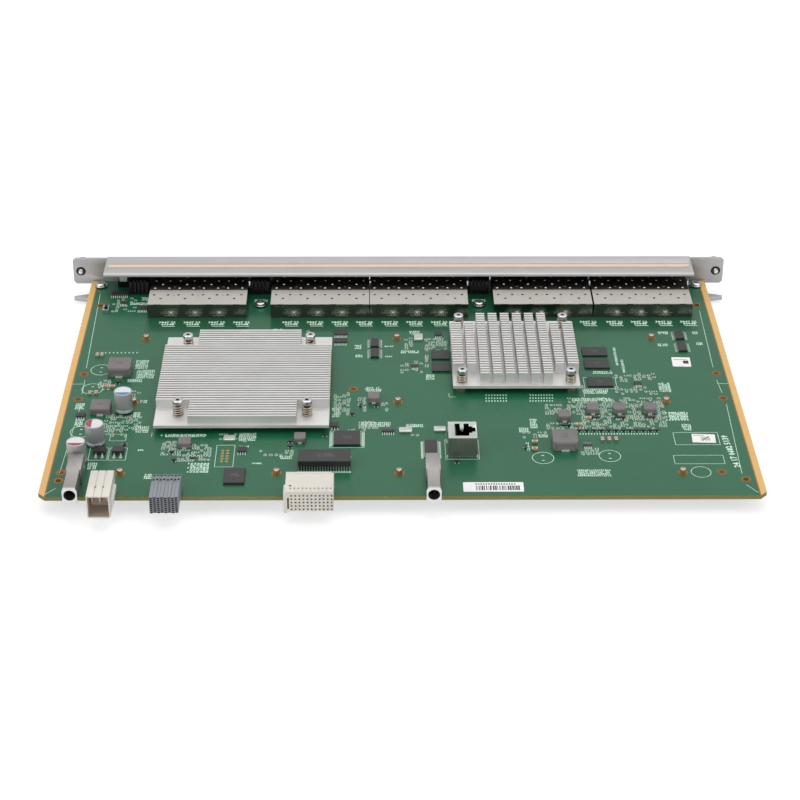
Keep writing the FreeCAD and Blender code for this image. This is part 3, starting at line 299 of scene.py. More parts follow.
def board_finish():
    """Green lacquer over traces, dots of vias, gold strips at the sides and a laminate edge."""
    shades = colours()
    finish = Finish("board_lacquer")
    x = finish.along("X")
    depth = finish.along("Y") - DATUM.y
    side = abs(x)
    half = BOARD_HIGH[0]
    width = sizes().strip_width
    # fields: the far strip without a copper plane, and softer patches across the board
    far_field = ((depth > BARE_NEAR) * (x > BARE_LEFT) * (x < BARE_RIGHT)
                 * (abs(x - LAND_X) > LAND_HALF))
    patches = finish.node("ShaderNodeTexVoronoi", {"feature": "F1", "distance": "CHEBYCHEV"},
                          {"Vector": finish.place(), "Scale": 16.0, "Randomness": 0.9},
                          output="Color")
    patch = finish.along("X", patches)
    field = finish.mix(patch * 0.22 + 0.25 * finish.noise(9.0) - 0.06, shades.mask,
                       shades.mask_dark)
    field = finish.mix(far_field * 0.85, field, shades.mask_dark)
    # traces: thin slanted lines that only some patches have
    slanted = finish.node("ShaderNodeMapping", {}, {"Vector": finish.place(),
                                                    "Rotation": (0, 0, math.radians(34))})
    lines = finish.node("ShaderNodeTexWave", {"bands_direction": "Y"},
                        {"Vector": slanted, "Scale": 190.0, "Distortion": 0.0}, output="Fac")
    traces = finish.ramp(lines, 0.72, 0.95) * (patch > 0.55)
    bundle = (abs(depth - BUNDLE_Y) < BUNDLE_HALF_LENGTH) * (side < BUNDLE_HALF_WIDTH)
    field = finish.mix(0.3 * traces * bundle, field, shaded(shades.mask, 1.5))
    # vias: small dark dots
    cells = {"Vector": finish.place(), "Scale": 210.0, "Randomness": 0.85}
    distance = finish.node("ShaderNodeTexVoronoi", {"feature": "F1"}, cells)
    picked = finish.along("X", finish.node("ShaderNodeTexVoronoi", {"feature": "F1"}, cells,
                                           output="Color"))
    dots = (distance < 0.075) * (picked > 0.62)
    field = finish.mix(dots * 0.55, field, shaded(shades.mask_dark, 0.45))
    # gold strips and their border
    field = finish.mix(side > half - width - 0.6 * MM, field, shades.gold_line)
    gold = finish.mix(finish.noise(70.0), shaded(shades.gold, 0.93), shaded(shades.gold, 1.05))
    field = finish.mix(side > half - width, field, gold)
    # cut edges show the laminate in thin layers
    cut = abs(finish.along("Z", finish.node("ShaderNodeNewGeometry", output="Normal"))) < 0.5
    layers = finish.noise(1.0, 2.0, (150, 150, 2600))
    laminate = finish.mix(layers, shaded(shades.laminate, 0.7), shaded(shades.laminate, 1.25))
    field = finish.mix(cut, field, laminate)
    finish.close(base_color=field, roughness=0.24 + 0.35 * cut + 0.06 * finish.noise(40.0),
                 normal=finish.bump(finish.noise(120.0) - dots, 0.00001))


def lid_finish():
    """Bright sheet, with painted shade where it lies under the panel's rail: darker there, and a
    little smoother.
    """
    shades = colours()
    finish = Finish("cage_sheet")
    # painted shade: the lid is darker where the rail overhangs it
    under = (finish.along("Y") - DATUM.y) > RAIL_SHADE_FROM
    grain = finish.noise(300.0, 4.0, (1, 0.1, 1))
    bright = finish.mix(grain, shaded(shades.cage, 0.94), shaded(shades.cage, 1.04))
    shaded_sheet = finish.mix(grain, shaded(shades.cage_wall, 0.75), shaded(shades.cage_wall, 0.95))
    finish.close(base_color=finish.mix(under, bright, shaded_sheet), metallic=1.0,
                 roughness=0.3 - 0.1 * under + 0.06 * grain)


def gasket_finish():
    """Woven conductive cloth round a foam core, with a painted shadow as a dark line along its far
    edge.
    """
    shades = colours()
    finish = Finish("gasket_weave")
    weave = finish.node("ShaderNodeTexWave", {"bands_direction": "X"},
                        {"Vector": finish.place(), "Scale": 420.0}, output="Fac")
    shadow_line = finish.along("Y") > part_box("emi_gasket")[1][1] - 0.9 * MM
    body = finish.mix(weave, shaded(shades.gasket, 0.86), shaded(shades.gasket, 1.05))
    # painted shadow along the far edge, in the strip border's colour
    body = finish.mix(shadow_line, body, shades.gold_line)
    finish.close(base_color=body, roughness=0.8, metallic=0.1,
                 normal=finish.bump(weave, 0.0001))


def clear_finish():
    """Clear acrylic, slightly frosted inside."""
    finish = Finish("clear_acrylic")
    cloud = finish.noise(300.0)
    finish.close(base_color=(0.9, 0.94, 0.92, 1), roughness=0.12 + 0.15 * cloud,
                 transmission_weight=0.6, ior=1.49)


def make_finishes():
    """All finishes, by name."""
    shades = colours()
    board_finish()
    gasket_finish()
    clear_finish()
    metal("sink_metal", shades.aluminium, 0.52, (0.2, 0.2, 1), 300.0, 0.000002, 0.55)
    metal("panel_metal", shades.panel, 0.52, (0.3, 1, 1), 200.0, 0.000003, 0.8)
    # The walls: the lids' sheet made darker, painted shade
    metal("cage_wall", shades.cage_wall, 0.2, (1, 0.05, 1), 300.0, 0.000004)
    metal("jack_metal", shades.jack, 0.24, (1, 1, 0.1), 300.0, 0.000004, 0.8)
    lid_finish()
    metal("screw_steel", shades.steel, 0.22)
    metal("spring_wire", shades.spring, 0.26)
    metal("post_metal", shades.brass, 0.36)
    metal("cast_zinc", shades.zinc, 0.4, grain=1500.0, depth=0.00004)
    metal("tinned", shades.tin, 0.34)
    metal("can_aluminium", shades.can, 0.5, (1, 1, 0.05), 900.0, 0.000003, 0.6)
    metal("gold_plate", shades.gold, 0.34)
    metal("copper_ring", shades.copper, 0.4)
    metal("blade_metal", shaded(shades.brass, 0.9), 0.3)
    moulded("white_resin", shades.white, 0.42)
    moulded("grey_resin", shades.grey, 0.46)
    moulded("black_resin", shades.black, 0.26, depth=0.00001, shine=0.25)
    moulded("solder_pad", shades.pad, 0.36, 2000.0, 0.00001)
    # Painted shade: the hollow shade for holes, notches and hooks, the well shade for cavities and
    # sunk bump tops
    moulded("socket_well", shades.well, 0.6)
    moulded("well_shade", linear(168, 152, 136), 0.6)
    moulded("chip_body", shades.chip, 0.46, 1600.0, 0.00001)
    moulded("inductor_body", shades.core, 0.62, 1400.0, 0.00006)
    moulded("ceramic", shades.tan, 0.45)
    moulded("thermal_pad", shaded(shades.core, 1.6), 0.9)
    moulded("board_print", shades.print, 0.6, 2500.0, 0.00001)
    moulded("chip_print", linear(92, 90, 90), 0.6, 2500.0, 0.00001)
    # Painted shade: dark brown for holes, slots, a key and the screw sockets and shanks
    moulded("via_dark", linear(72, 52, 26), 0.6)
    moulded("can_top_white", linear(222, 222, 224), 0.4)
    moulded("mark_red", shades.red, 0.4)
    moulded("mark_blue", shades.blue, 0.4)
    moulded("label_paper", shades.label, 0.7, 2000.0, 0.00001)
    moulded("label_ink", linear(52, 52, 54), 0.6)


# Each finish with the structural parts that wear it
NODE_FINISHES = {
    "board_lacquer": ("board",),
    "panel_metal": ("front_panel", "panel_bracket", "ejector_left", "ejector_right"),
    "gasket_weave": ("emi_gasket",),
    "screw_steel": ("ejector_pivots", "board_screws", "heatsink_screws", "reset_switch_body",
                    "captive_screw_left", "captive_screw_right"),
    "post_metal": ("posts", "heatsink_spacers"),
    "spring_wire": ("heatsink_springs", "screw_clip_left", "screw_clip_right",
                    "screw_spring_left", "screw_spring_right"),
    "cage_sheet": ("sfp_lids",),
    "cage_wall": ("sfp_dividers", *(f"sfp_cage_{number}" for number in range(1, 6))),
    "sink_metal": ("heatsink_large", "heatsink_small"),
    "cast_zinc": ("guide_socket_left", "guide_socket_right"),
    "jack_metal": ("jack_shield",),
    "blade_metal": ("power_blades",),
    "can_aluminium": ("electrolytic_capacitors",),
    "tinned": ("metal_cans",),
    "white_resin": ("power_connector", "backplane_connector"),
    "grey_resin": ("signal_connector",),
    "black_resin": ("sfp_host_connectors", "led_blocks", "status_led_holder", "jack_insert",
                    "reset_button"),
    "clear_acrylic": ("indicator_lenses", "status_light_guide"),
    "chip_body": ("switch_chips", "memory_chips", "magnetics_module", "controller_chips",
                  "small_chips", "power_transistors"),
    "thermal_pad": ("thermal_pads",),
    "inductor_body": ("power_inductors", "small_inductors"),
    "ceramic": ("chip_capacitors",),
}


def deselect():
    """Nothing selected, as every step starts."""
    bpy.ops.object.select_all(action="DESELECT")


def take(piece):
    """Selects one object alone."""
    deselect()
    piece.select_set(True)
    bpy.context.view_layer.objects.active = piece


def settle(piece):
    """Puts an object's place, turn and scale into its mesh."""
    take(piece)
    bpy.ops.object.transform_apply(location=True, rotation=True, scale=True)
    return piece


def block(low, high):
    """A box between two corners in millimetres, to start from."""
    deselect()
    low, high = Vector(low) * MM, Vector(high) * MM
    bpy.ops.mesh.primitive_cube_add(size=1, location=(low + high) / 2)
    bpy.context.object.scale = high - low
    return settle(bpy.context.object)


def drum(radius, low, high, sides=20, x=0.0, y=0.0):
    """An upright cylinder in millimetres, to start from."""
    deselect()
    bpy.ops.mesh.primitive_cylinder_add(
        vertices=sides, radius=radius * MM, depth=(high - low) * MM,
        location=(x * MM, y * MM, (low + high) / 2 * MM))
    return settle(bpy.context.object)


def ring(inner, outer, low, high, sides=20):
    """A flat washer or collar."""
    deselect()
    bpy.ops.mesh.primitive_circle_add(vertices=sides, radius=inner * MM,
                                      location=(0, 0, high * MM))
    piece = settle(bpy.context.object)
    with Bench(piece) as bench:
        bench.all()
        bench.extrude()
        bench.resize(outer / inner, outer / inner, 1)
    return modified(piece, "SOLIDIFY", thickness=(high - low) * MM, offset=-1.0)


class Bench:
    """One mesh open in edit mode, its parts picked by place and normal."""

    def __init__(self, piece):
        self.piece = piece

    def __enter__(self):
        take(self.piece)
        bpy.ops.object.mode_set(mode="EDIT")
        return self

    def __exit__(self, *problem):
        bpy.ops.object.mode_set(mode="OBJECT")

    def pick(self, kind, items, test):
        """Selects the faces or edges whose middle and direction pass a test."""
        bpy.ops.mesh.select_mode(type=kind)
        bpy.ops.mesh.select_all(action="DESELECT")
        mesh = bmesh.from_edit_mesh(self.piece.data)
        for item in getattr(mesh, items):
            if kind == "FACE":
                middle, lean = item.calc_center_median(), item.normal
            else:
                middle = (item.verts[0].co + item.verts[1].co) / 2
                lean = (item.verts[1].co - item.verts[0].co).normalized()
            if test(middle / MM, lean):
                item.select_set(True)
        bmesh.update_edit_mesh(self.piece.data)

    def faces(self, test):
        self.pick("FACE", "faces", test)

    def edges(self, test):
        self.pick("EDGE", "edges", test)

    def all(self):
        bpy.ops.mesh.select_all(action="SELECT")

    def extrude(self, x=0.0, y=0.0, z=0.0):
        bpy.ops.mesh.extrude_region_move(
            TRANSFORM_OT_translate={"value": (x * MM, y * MM, z * MM)})

    def move(self, x=0.0, y=0.0, z=0.0):
        bpy.ops.transform.translate(value=(x * MM, y * MM, z * MM))

    def resize(self, x, y, z):
        bpy.ops.transform.resize(value=(x, y, z))

    def inset(self, by, each=False):
        bpy.ops.mesh.inset(thickness=by * MM, use_individual=each)

    def sink(self, by):
        """Pushes each picked face in along its own normal."""
        bpy.ops.mesh.extrude_region_shrink_fatten(
            TRANSFORM_OT_shrink_fatten={"value": -by * MM})

    def bevel(self, by, segments=2):
        bpy.ops.mesh.bevel(offset=by * MM, segments=segments, affect="EDGES")

    def slice(self, place, normal):
        """Cuts the whole mesh along a plane."""
        self.all()
        bpy.ops.mesh.bisect(plane_co=[part * MM for part in place], plane_no=normal)

    def paint(self, number):
        """Gives the picked faces the finish of a numbered slot."""
        self.piece.active_material_index = number
        bpy.ops.object.material_slot_assign()


def facing(axis, least=0.9):
    """A test for faces that look along an axis, such as z, or against it, such as -y."""
    sign = -1 if axis.startswith("-") else 1
    number = "xyz".index(axis[-1])
    return lambda middle, lean: sign * lean[number] > least


def upright(middle, lean):
    """A test for edges that stand upright."""
    return abs(lean.z) > 0.9


def above(level):
    """A test for edges above a level."""
    return lambda middle, lean: middle.z > level


def rim_above(level):
    """A test for level edges above a level, such as a top rim."""
    return lambda middle, lean: middle.z > level and abs(lean.z) < 0.1


def rim_below(level):
    """A test for level edges below a level."""
    return lambda middle, lean: middle.z < level and abs(lean.z) < 0.1


def rim_at(level, slack=0.01):
    """A test for level edges at a level."""
    return lambda middle, lean: abs(middle.z - level) < slack and abs(lean.z) < 0.1


def modified(piece, kind, **settings):
    """Adds a modifier and applies it."""
    take(piece)
    modifier = piece.modifiers.new(kind.title(), kind)
    for name, value in settings.items():
        setattr(modifier, name, value)
    bpy.ops.object.modifier_apply(modifier=modifier.name)
    return piece


def softened(piece, by, segments=2, angle=40.0):
    """Rounds every sharp edge a little."""
    return modified(piece, "BEVEL", width=by * MM, segments=segments, limit_method="ANGLE",
                    angle_limit=math.radians(angle), harden_normals=False)


def cornered(piece, by, segments=1):
    """Bevels the upright edges of a block."""
    with Bench(piece) as bench:
        bench.edges(upright)
        bench.bevel(by, segments)
    return piece


def bored(piece, cutter):
    """Takes the shape of a cutter, which is used up, out of a model."""
    modified(piece, "BOOLEAN", operation="DIFFERENCE", object=cutter, solver="EXACT")
    bpy.data.objects.remove(cutter)


def finished_with(piece, *names):
    """Gives a model its finishes, the first one all over."""
    for name in names:
        piece.data.materials.append(bpy.data.materials[name])
    return piece


def eased_block(low, high, by, finish):
    """A block with every edge cut a little, and one finish."""
    return finished_with(softened(block(low, high), by, 1), finish)


def joined(members):
    """Several meshes as one."""
    deselect()
    for member in members:
        member.select_set(True)
    bpy.context.view_layer.objects.active = members[0]
    bpy.ops.object.join()
    return members[0]


def copies(model, places):
    """Copies of a model, each with a mesh of its own, joined; a place is x, y, z and a turn."""
    twins = []
    for x, y, z, turn in places:
        twin = model.copy()
        twin.data = model.data.copy()
        bpy.context.collection.objects.link(twin)
        twin.data.transform(Matrix.Translation(Vector((x, y, z)) * MM)
                            @ Matrix.Rotation(math.radians(turn), 4, "Z"))
        twins.append(twin)
    bpy.data.objects.remove(model)
    return joined(twins)


def upon(spots):
    """Places on the board, for copies, from spots of X and Y."""
    return [(x, y, 0, 0) for x, y in spots]


def wound(low, high, radius, turns):
    """A helix of round wire with closed ends."""
    wire = sizes().spring_wire / MM
    deselect()
    bpy.ops.mesh.primitive_circle_add(vertices=8, radius=wire * MM, rotation=(math.pi / 2, 0, 0),
                                      location=(radius * MM, 0, (low + wire) * MM))
    coil = settle(bpy.context.object)
    modified(coil, "SCREW", axis="Z", screw_offset=(high - low - 2 * wire) / turns * MM,
             iterations=turns, steps=16, render_steps=16, use_smooth_shade=True)
    with Bench(coil) as bench:
        bpy.ops.mesh.select_mode(type="EDGE")
        bpy.ops.mesh.select_all(action="DESELECT")
        bpy.ops.mesh.select_non_manifold()
        bpy.ops.mesh.fill_holes(sides=0)
        bench.all()
        bpy.ops.mesh.normals_make_consistent(inside=False)
    return finished_with(coil, "spring_wire")


def seated(piece, name, body="card", replaces=(), smooth=35.0):
    """Ends a piece: moved onto the card, named, smoothed, and riding on its body."""
    piece.data.transform(Matrix.Translation(DATUM))
    piece.name = name
    piece.data.name = name
    take(piece)
    bpy.ops.object.shade_smooth_by_angle(angle=math.radians(smooth))
    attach(piece, body)
    if replaces:
        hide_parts(*replaces)


def dressed_node(node, name, by, body="card", segments=2, shape=None, inside=None,
                 lining="socket_well"):
    """A copy of a structural part with eased edges; faces that pass a test get another finish."""
    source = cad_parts[node]
    piece = source.copy()
    piece.data = source.data.copy()
    piece.parent = None
    piece.matrix_world = Matrix.Identity(4)
    bpy.context.collection.objects.link(piece)
    piece.data.transform(Matrix.Translation(-DATUM))
    with Bench(piece) as bench:
        bench.all()
        bpy.ops.mesh.remove_doubles(threshold=0.002 * MM)
        bpy.ops.mesh.dissolve_limited(angle_limit=math.radians(1))
        if shape:
            shape(bench)
    softened(piece, by, segments)
    if inside:
        finished_with(piece, lining)
        with Bench(piece) as bench:
            bench.faces(inside)
            bench.paint(len(piece.data.materials) - 1)
    seated(piece, name, body, (node,))


class LINECARD_OT_finishes(bpy.types.Operator):
    """Makes every finish and gives each structural part its own"""
    bl_idname = "linecard.finishes"
    bl_label = "Finishes"

    def execute(self, context):
        make_finishes()
        missing = set(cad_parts)
        for finish, nodes in NODE_FINISHES.items():
            missing.difference_update(nodes)
            for node in nodes:
                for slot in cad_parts[node].material_slots:
                    slot.material = bpy.data.materials[finish]
        if missing:
            raise RuntimeError(f"no finish for {sorted(missing)}")
        return {"FINISHED"}


# Each lamp by name, place, size and power; the front one is a fill for matt surfaces alone
LAMPS = (("lamp_above", (0.0, 0.3, 1.5), 1.8, 15.0), ("lamp_left", (-1.2, -0.7, 0.8), 0.9, 5.0),
         ("lamp_right", (1.2, -0.6, 0.9), 0.9, 4.5), ("lamp_front", (0.0, -1.9, 0.4), 0.7, 9.0))
FLOOR_GREY = 0.5
FLOOR_LIFT = 0.62
WORLD_LIGHT = 0.38
MIRROR_LIGHT = 0.76


class LINECARD_OT_stage(bpy.types.Operator):
    """Sets up the pale floor, the lamps, the surroundings and the camera"""
    bl_idname = "linecard.stage"
    bl_label = "Studio"

    def execute(self, context):
        self.floor()
        self.surroundings(context.scene)
        for name, place, size, power in LAMPS:
            lamp = bpy.data.lights.new(name, "AREA")
            lamp.energy = power
            lamp.size = size
            holder = bpy.data.objects.new(name, lamp)
            holder.location = place
            holder.visible_camera = False
            holder.visible_glossy = name != "lamp_front"
            holder.rotation_euler = Vector(place).to_track_quat("Z", "Y").to_euler()
            context.collection.objects.link(holder)
        self.camera(context.scene)
        context.scene.view_settings.view_transform = "Standard"
        return {"FINISHED"}

    def floor(self):
        """A wide floor that looks white to the camera and keeps the shadow."""
        deselect()
        bpy.ops.mesh.primitive_plane_add(size=30, location=(0, 0, 0))
        floor = bpy.context.object
        floor.name = "floor"
        finish = Finish("floor_white")
        matt = finish.node("ShaderNodeBsdfDiffuse", {}, {"Color": grey(FLOOR_GREY)})
        seen = finish.node("ShaderNodeLightPath", output="Is Camera Ray")
        mirrored = finish.node("ShaderNodeLightPath", output="Is Glossy Ray")
        lift = finish.node("ShaderNodeEmission", {}, {
            "Color": grey(1), "Strength": (seen + mirrored) * FLOOR_LIFT})
        both = finish.node("ShaderNodeAddShader", {}, [matt, lift])
        finish.node("ShaderNodeOutputMaterial", {}, {"Surface": both})
        floor.data.materials.append(finish.material)

    def surroundings(self, scene):
        """A plain world: soft light, and white where the camera or a mirror sees it."""
        scene.world = bpy.data.worlds.new("studio")
        studio = Finish("studio", scene.world)
        rays = [studio.node("ShaderNodeLightPath", output=f"Is {ray} Ray")
                for ray in ("Camera", "Transmission", "Glossy")]
        seen = studio.node("ShaderNodeMath", {"operation": "ADD", "use_clamp": True}, rays[:2])
        level = studio.mix(seen, grey(WORLD_LIGHT), grey(1))
        shine = studio.mix(rays[2], level, grey(MIRROR_LIGHT))
        light = studio.node("ShaderNodeBackground", {}, {"Color": shine})
        studio.node("ShaderNodeOutputWorld", {}, {"Surface": light})

    def camera(self, scene):
        """The photograph's point of view."""
        view = sizes()
        pitch, yaw, roll = view.camera_pitch, view.camera_yaw, view.camera_roll
        ahead = Vector((math.sin(yaw) * math.cos(pitch), math.cos(yaw) * math.cos(pitch),
                        -math.sin(pitch)))
        level = Vector((math.cos(yaw), -math.sin(yaw), 0))
        upward = level.cross(ahead)
        across = level * math.cos(roll) + upward * math.sin(roll)
        upward = upward * math.cos(roll) - level * math.sin(roll)
        camera = bpy.data.objects.new("camera", bpy.data.cameras.new("camera"))
        camera.matrix_world = (Matrix.Translation(view.camera_place)
                               @ Matrix((across, upward, -ahead)).transposed().to_4x4())
        camera.data.lens = view.lens
        camera.data.clip_end = 60
        scene.collection.objects.link(camera)
        scene.camera = camera


# The left side of each cage; four ports are side by side in it
CAGE_LEFTS = (-145.7, -74.6, -17.2, 54.8, 112.8)
PORT_PITCH = 14.25
CAGE_REAR = 189.0
LID_FAR = 238.4
LID_LEVEL = 8.3
LID_THICK = 0.4
# The place of each row of vents, and where its vents are in a port's width
VENT_ROWS = ((223.5, (0.46,)), (218.8, (0.19, 0.76)), (214.2, (0.48,)), (209.6, (0.19, 0.77)),
             (200.9, (0.2, 0.77)), (196.3, (0.485,)))
# Vents beyond this get white discs: painted light in the vents
LIT_VENTS_FROM = 205


class LINECARD_OT_lids(bpy.types.Operator):
    """Models one vented cage lid with its hooks and copies it to the five cages; white discs in
    the vents under the rail are painted light, the dark hooks painted shade
    """
    bl_idname = "linecard.lids"
    bl_label = "Cage lids"

    def execute(self, context):
        wide = 4 * PORT_PITCH
        lid = block((0, CAGE_REAR, LID_LEVEL), (wide, LID_FAR, LID_LEVEL + LID_THICK))
        radius = sizes().vent_radius / MM
        places = [((port + share) * PORT_PITCH, y, 0, 0) for port in range(4)
                  for y, shares in VENT_ROWS for share in shares]
        bored(lid, copies(drum(radius, LID_LEVEL - 1, LID_LEVEL + 1.4, 12), places))
        finished_with(lid, "cage_sheet")
        # White discs in the vents under the rail: painted light
        lit_vent = drum(radius * 0.9, LID_LEVEL - 0.1, LID_LEVEL + 0.32, 10)
        with Bench(lit_vent) as bench:
            bench.edges(above(LID_LEVEL + 0.3))
            bench.bevel(0.2, 2)
        finished_with(lit_vent, "can_top_white")
        lit_vents = copies(lit_vent, [place for place in places if place[1] > LIT_VENTS_FROM])
        pip = drum(0.75, LID_LEVEL, LID_LEVEL + LID_THICK + 0.14, 12)
        with Bench(pip) as bench:
            bench.edges(above(LID_LEVEL + LID_THICK))
            bench.bevel(0.12, 2)
        finished_with(pip, "cage_sheet")
        pips = copies(pip, [(port * PORT_PITCH, 192.2, 0, 0) for port in (0.94, 2, 3.05)])
        hook = block((-0.55, -0.15, LID_LEVEL), (0.55, 0.15, LID_LEVEL + LID_THICK + 0.1))
        with Bench(hook) as bench:
            bench.faces(facing("x"))
            bench.extrude(y=0.7)
            bench.resize(1, 0.6, 1)
        # The hooks get the hollow shade: painted shade
        finished_with(hook, "socket_well")
        hooks = copies(hook, [(port * PORT_PITCH, y, 0, 0) for port in (1, 2, 3)
                              for y in (200.4, 210.8)])
        lids = copies(joined([lid, lit_vents, pips, hooks]), upon((left, 0) for left in CAGE_LEFTS))
        seated(lids, "vented_lids", replaces=("sfp_lids",))
        return {"FINISHED"}


HEM_PITCH = 15.2
LATCH_PITCH = 14.0
LATCH_SPOTS = [(left + LATCH_PITCH * port - 0.6, CAGE_REAR) for left in CAGE_LEFTS
               for port in (1, 2, 3)]


class LINECARD_OT_cage_tabs(bpy.types.Operator):
    """Models the tabs and latches on the rear walls of the cages, and their far clips"""
    bl_idname = "linecard.cage_tabs"
    bl_label = "Cage tabs"

    def execute(self, context):
        hem = block((-2.0, -0.32, 7.7), (2.0, 0, 8.78))
        with Bench(hem) as bench:
            bench.faces(facing("-z"))
            bench.resize(0.7, 1, 1)
            bench.faces(facing("z"))
            bench.inset(0.12)
            bench.extrude(z=0.05)
        finished_with(hem, "cage_wall")
        latch = block((-1.5, -0.3, 1.0), (1.5, 0, 4.6))
        with Bench(latch) as bench:
            bench.faces(facing("-y"))
            bench.inset(0.3)
            bench.sink(0.28)
            bench.inset(0.45)
            bench.extrude(y=-0.5)
            bench.resize(0.5, 1, 0.4)
            bench.edges(lambda middle, lean: middle.z < 1.05 and abs(lean.x) > 0.9)
            bench.bevel(0.14, 1)
        # The latches wear the lids' sheet without the walls' painted shade
        finished_with(latch, "cage_sheet")
        crease = block((-4.0, -0.1, 2.5), (4.0, 0, 2.75))
        with Bench(crease) as bench:
            bench.faces(facing("-y"))
            bench.resize(0.75, 1, 0.3)
        finished_with(crease, "cage_wall")
        foot = eased_block((-0.4, -0.4, 0), (0.4, 0, 0.8), 0.1, "cage_wall")
        hems = copies(hem, upon((left + 5.6 + HEM_PITCH * port, CAGE_REAR) for left in CAGE_LEFTS
                                for port in range(4)))
        latches = copies(latch, upon(LATCH_SPOTS))
        creases = copies(crease, [(x + shift, y, rise, 0) for x, y in LATCH_SPOTS
                                  for shift, rise in ((-0.4, -1.2), (0.6, 0.2))])
        feet = copies(foot, upon((x + shift, y) for x, y in LATCH_SPOTS
                                 for shift in (-2.6, 0, 2.6)))
        clip = block((-0.45, 0, 7.9), (0.45, 3.4, 9.5))
        with Bench(clip) as bench:
            bench.faces(facing("-y"))
            bench.extrude(y=-1.2, z=-1.8)
            bench.resize(0.7, 1, 0.5)
            bench.edges(lambda middle, lean: abs(lean.y) > 0.9 and middle.z > 9.4)
            bench.bevel(0.2, 2)
        finished_with(clip, "screw_steel")
        clips = copies(clip, upon((left + 57.6, 216.5) for left in CAGE_LEFTS))
        seated(joined([hems, latches, creases, feet, clips]), "cage_tabs")
        return {"FINISHED"}


# Heat sink screws by place and the height of the head's top
BIG_SCREWS = [(x, y, 14.0) for x in (-118.4, -50.2) for y in (72.0, 143.6)]
SMALL_SCREWS = [(x, y, 12.6) for x in (33.3, 92.5) for y in (106.8, 168.8)]
SINK_TOP = 5.0
WASHER_DROP = 3.0
SINK_COIL = 2.55


class LINECARD_OT_sink_screws(bpy.types.Operator):
    """Turns the sprung heat sink screws, with a washer and a socket, and winds their springs"""
    bl_idname = "linecard.sink_screws"
    bl_label = "Heat sink screws and springs"

    def execute(self, context):
        head = drum(2.8, -2.2, 0, 24)
        with Bench(head) as bench:
            bench.edges(rim_above(-0.01))
            bench.bevel(0.45, 3)
            bench.faces(facing("z", 0.99))
            bench.inset(1.35)
            bench.extrude(z=-0.7)
            bench.faces(facing("-z", 0.99))
            bench.inset(0.9)
            bench.extrude(z=-0.7)
            bench.inset(0.4)
            bench.extrude(z=-8.8)
        finished_with(head, "screw_steel", "via_dark")
        # Painted shade: the socket in the head and the shank inside the spring are painted dark
        # brown
        with Bench(head) as bench:
            bench.faces(lambda middle, lean: middle.xy.length < 1.5
                        and (-0.75 < middle.z < -0.2 or middle.z < -3.2))
            bench.paint(1)
        washer = ring(1.7, 3.1, -WASHER_DROP, -2.25, 24)
        softened(washer, 0.12, 1)
        finished_with(washer, "screw_steel")
        places = [(x, y, top, 0) for x, y, top in BIG_SCREWS + SMALL_SCREWS]
        screws = copies(joined([head, washer]), places)
        seated(screws, "sprung_screws", replaces=("heatsink_screws",))
        coils = []
        for spots in (BIG_SCREWS, SMALL_SCREWS):
            coil = wound(SINK_TOP, spots[0][2] - WASHER_DROP, SINK_COIL, sizes().spring_turns)
            coils.append(copies(coil, [(x, y, 0, 90 * index) for index, (x, y, top)
                                       in enumerate(spots)]))
        seated(joined(coils), "wound_springs", replaces=("heatsink_springs",),
               smooth=60)
        return {"FINISHED"}


class LINECARD_OT_board_screws(bpy.types.Operator):
    """Turns the pan head board screws with a washer and a cross recess"""
    bl_idname = "linecard.board_screws"
    bl_label = "Board screws"

    def execute(self, context):
        head = drum(3.0, 0.6, 2.5, 24)
        with Bench(head) as bench:
            bench.edges(rim_above(2.49))
            bench.bevel(0.9, 4)
        for x, y in ((0.35, 1.5), (1.5, 0.35)):
            bored(head, block((-x, -y, 1.6), (x, y, 3.5)))
        washer = ring(1.6, 3.7, 0.02, 0.6, 24)
        softened(washer, 0.1, 1)
        shank = drum(1.45, -5.7, 0.8, 16)
        with Bench(shank) as bench:
            bench.edges(rim_below(-5.6))
            bench.bevel(0.4, 1)
        screw = joined([head, washer, shank])
        finished_with(screw, "screw_steel")
        places = [(-177.2, 228.4, 0, 20), (177.2, 228.4, 0, 50), (-81.2, 204.0, 0, 5),
                  (46.8, 204.0, 0, 35)]
        seated(copies(screw, places), "pan_head_screws",
               replaces=("board_screws",))
        return {"FINISHED"}


# Posts under the board, screw holes that the solids have, and holes seen here alone, their dark
# middles painted shade
POSTS = [(x, y) for y in (21.5, 92.5, 163.5) for x in (-144.3, -1.8, 143.3)] + [(-64.5, 21.5)]
CAD_HOLES = [(side * 174.7, y) for side in (-1, 1) for y in (15.0, 204.0)]
MARKED_HOLES = [(side * 174.8, y) for side in (-1, 1) for y in (96.2, 123.2)]
MARKED_HOLES += [(163.4, 21.9), (-26.0, 106.7), (-174.5, 22.5)]


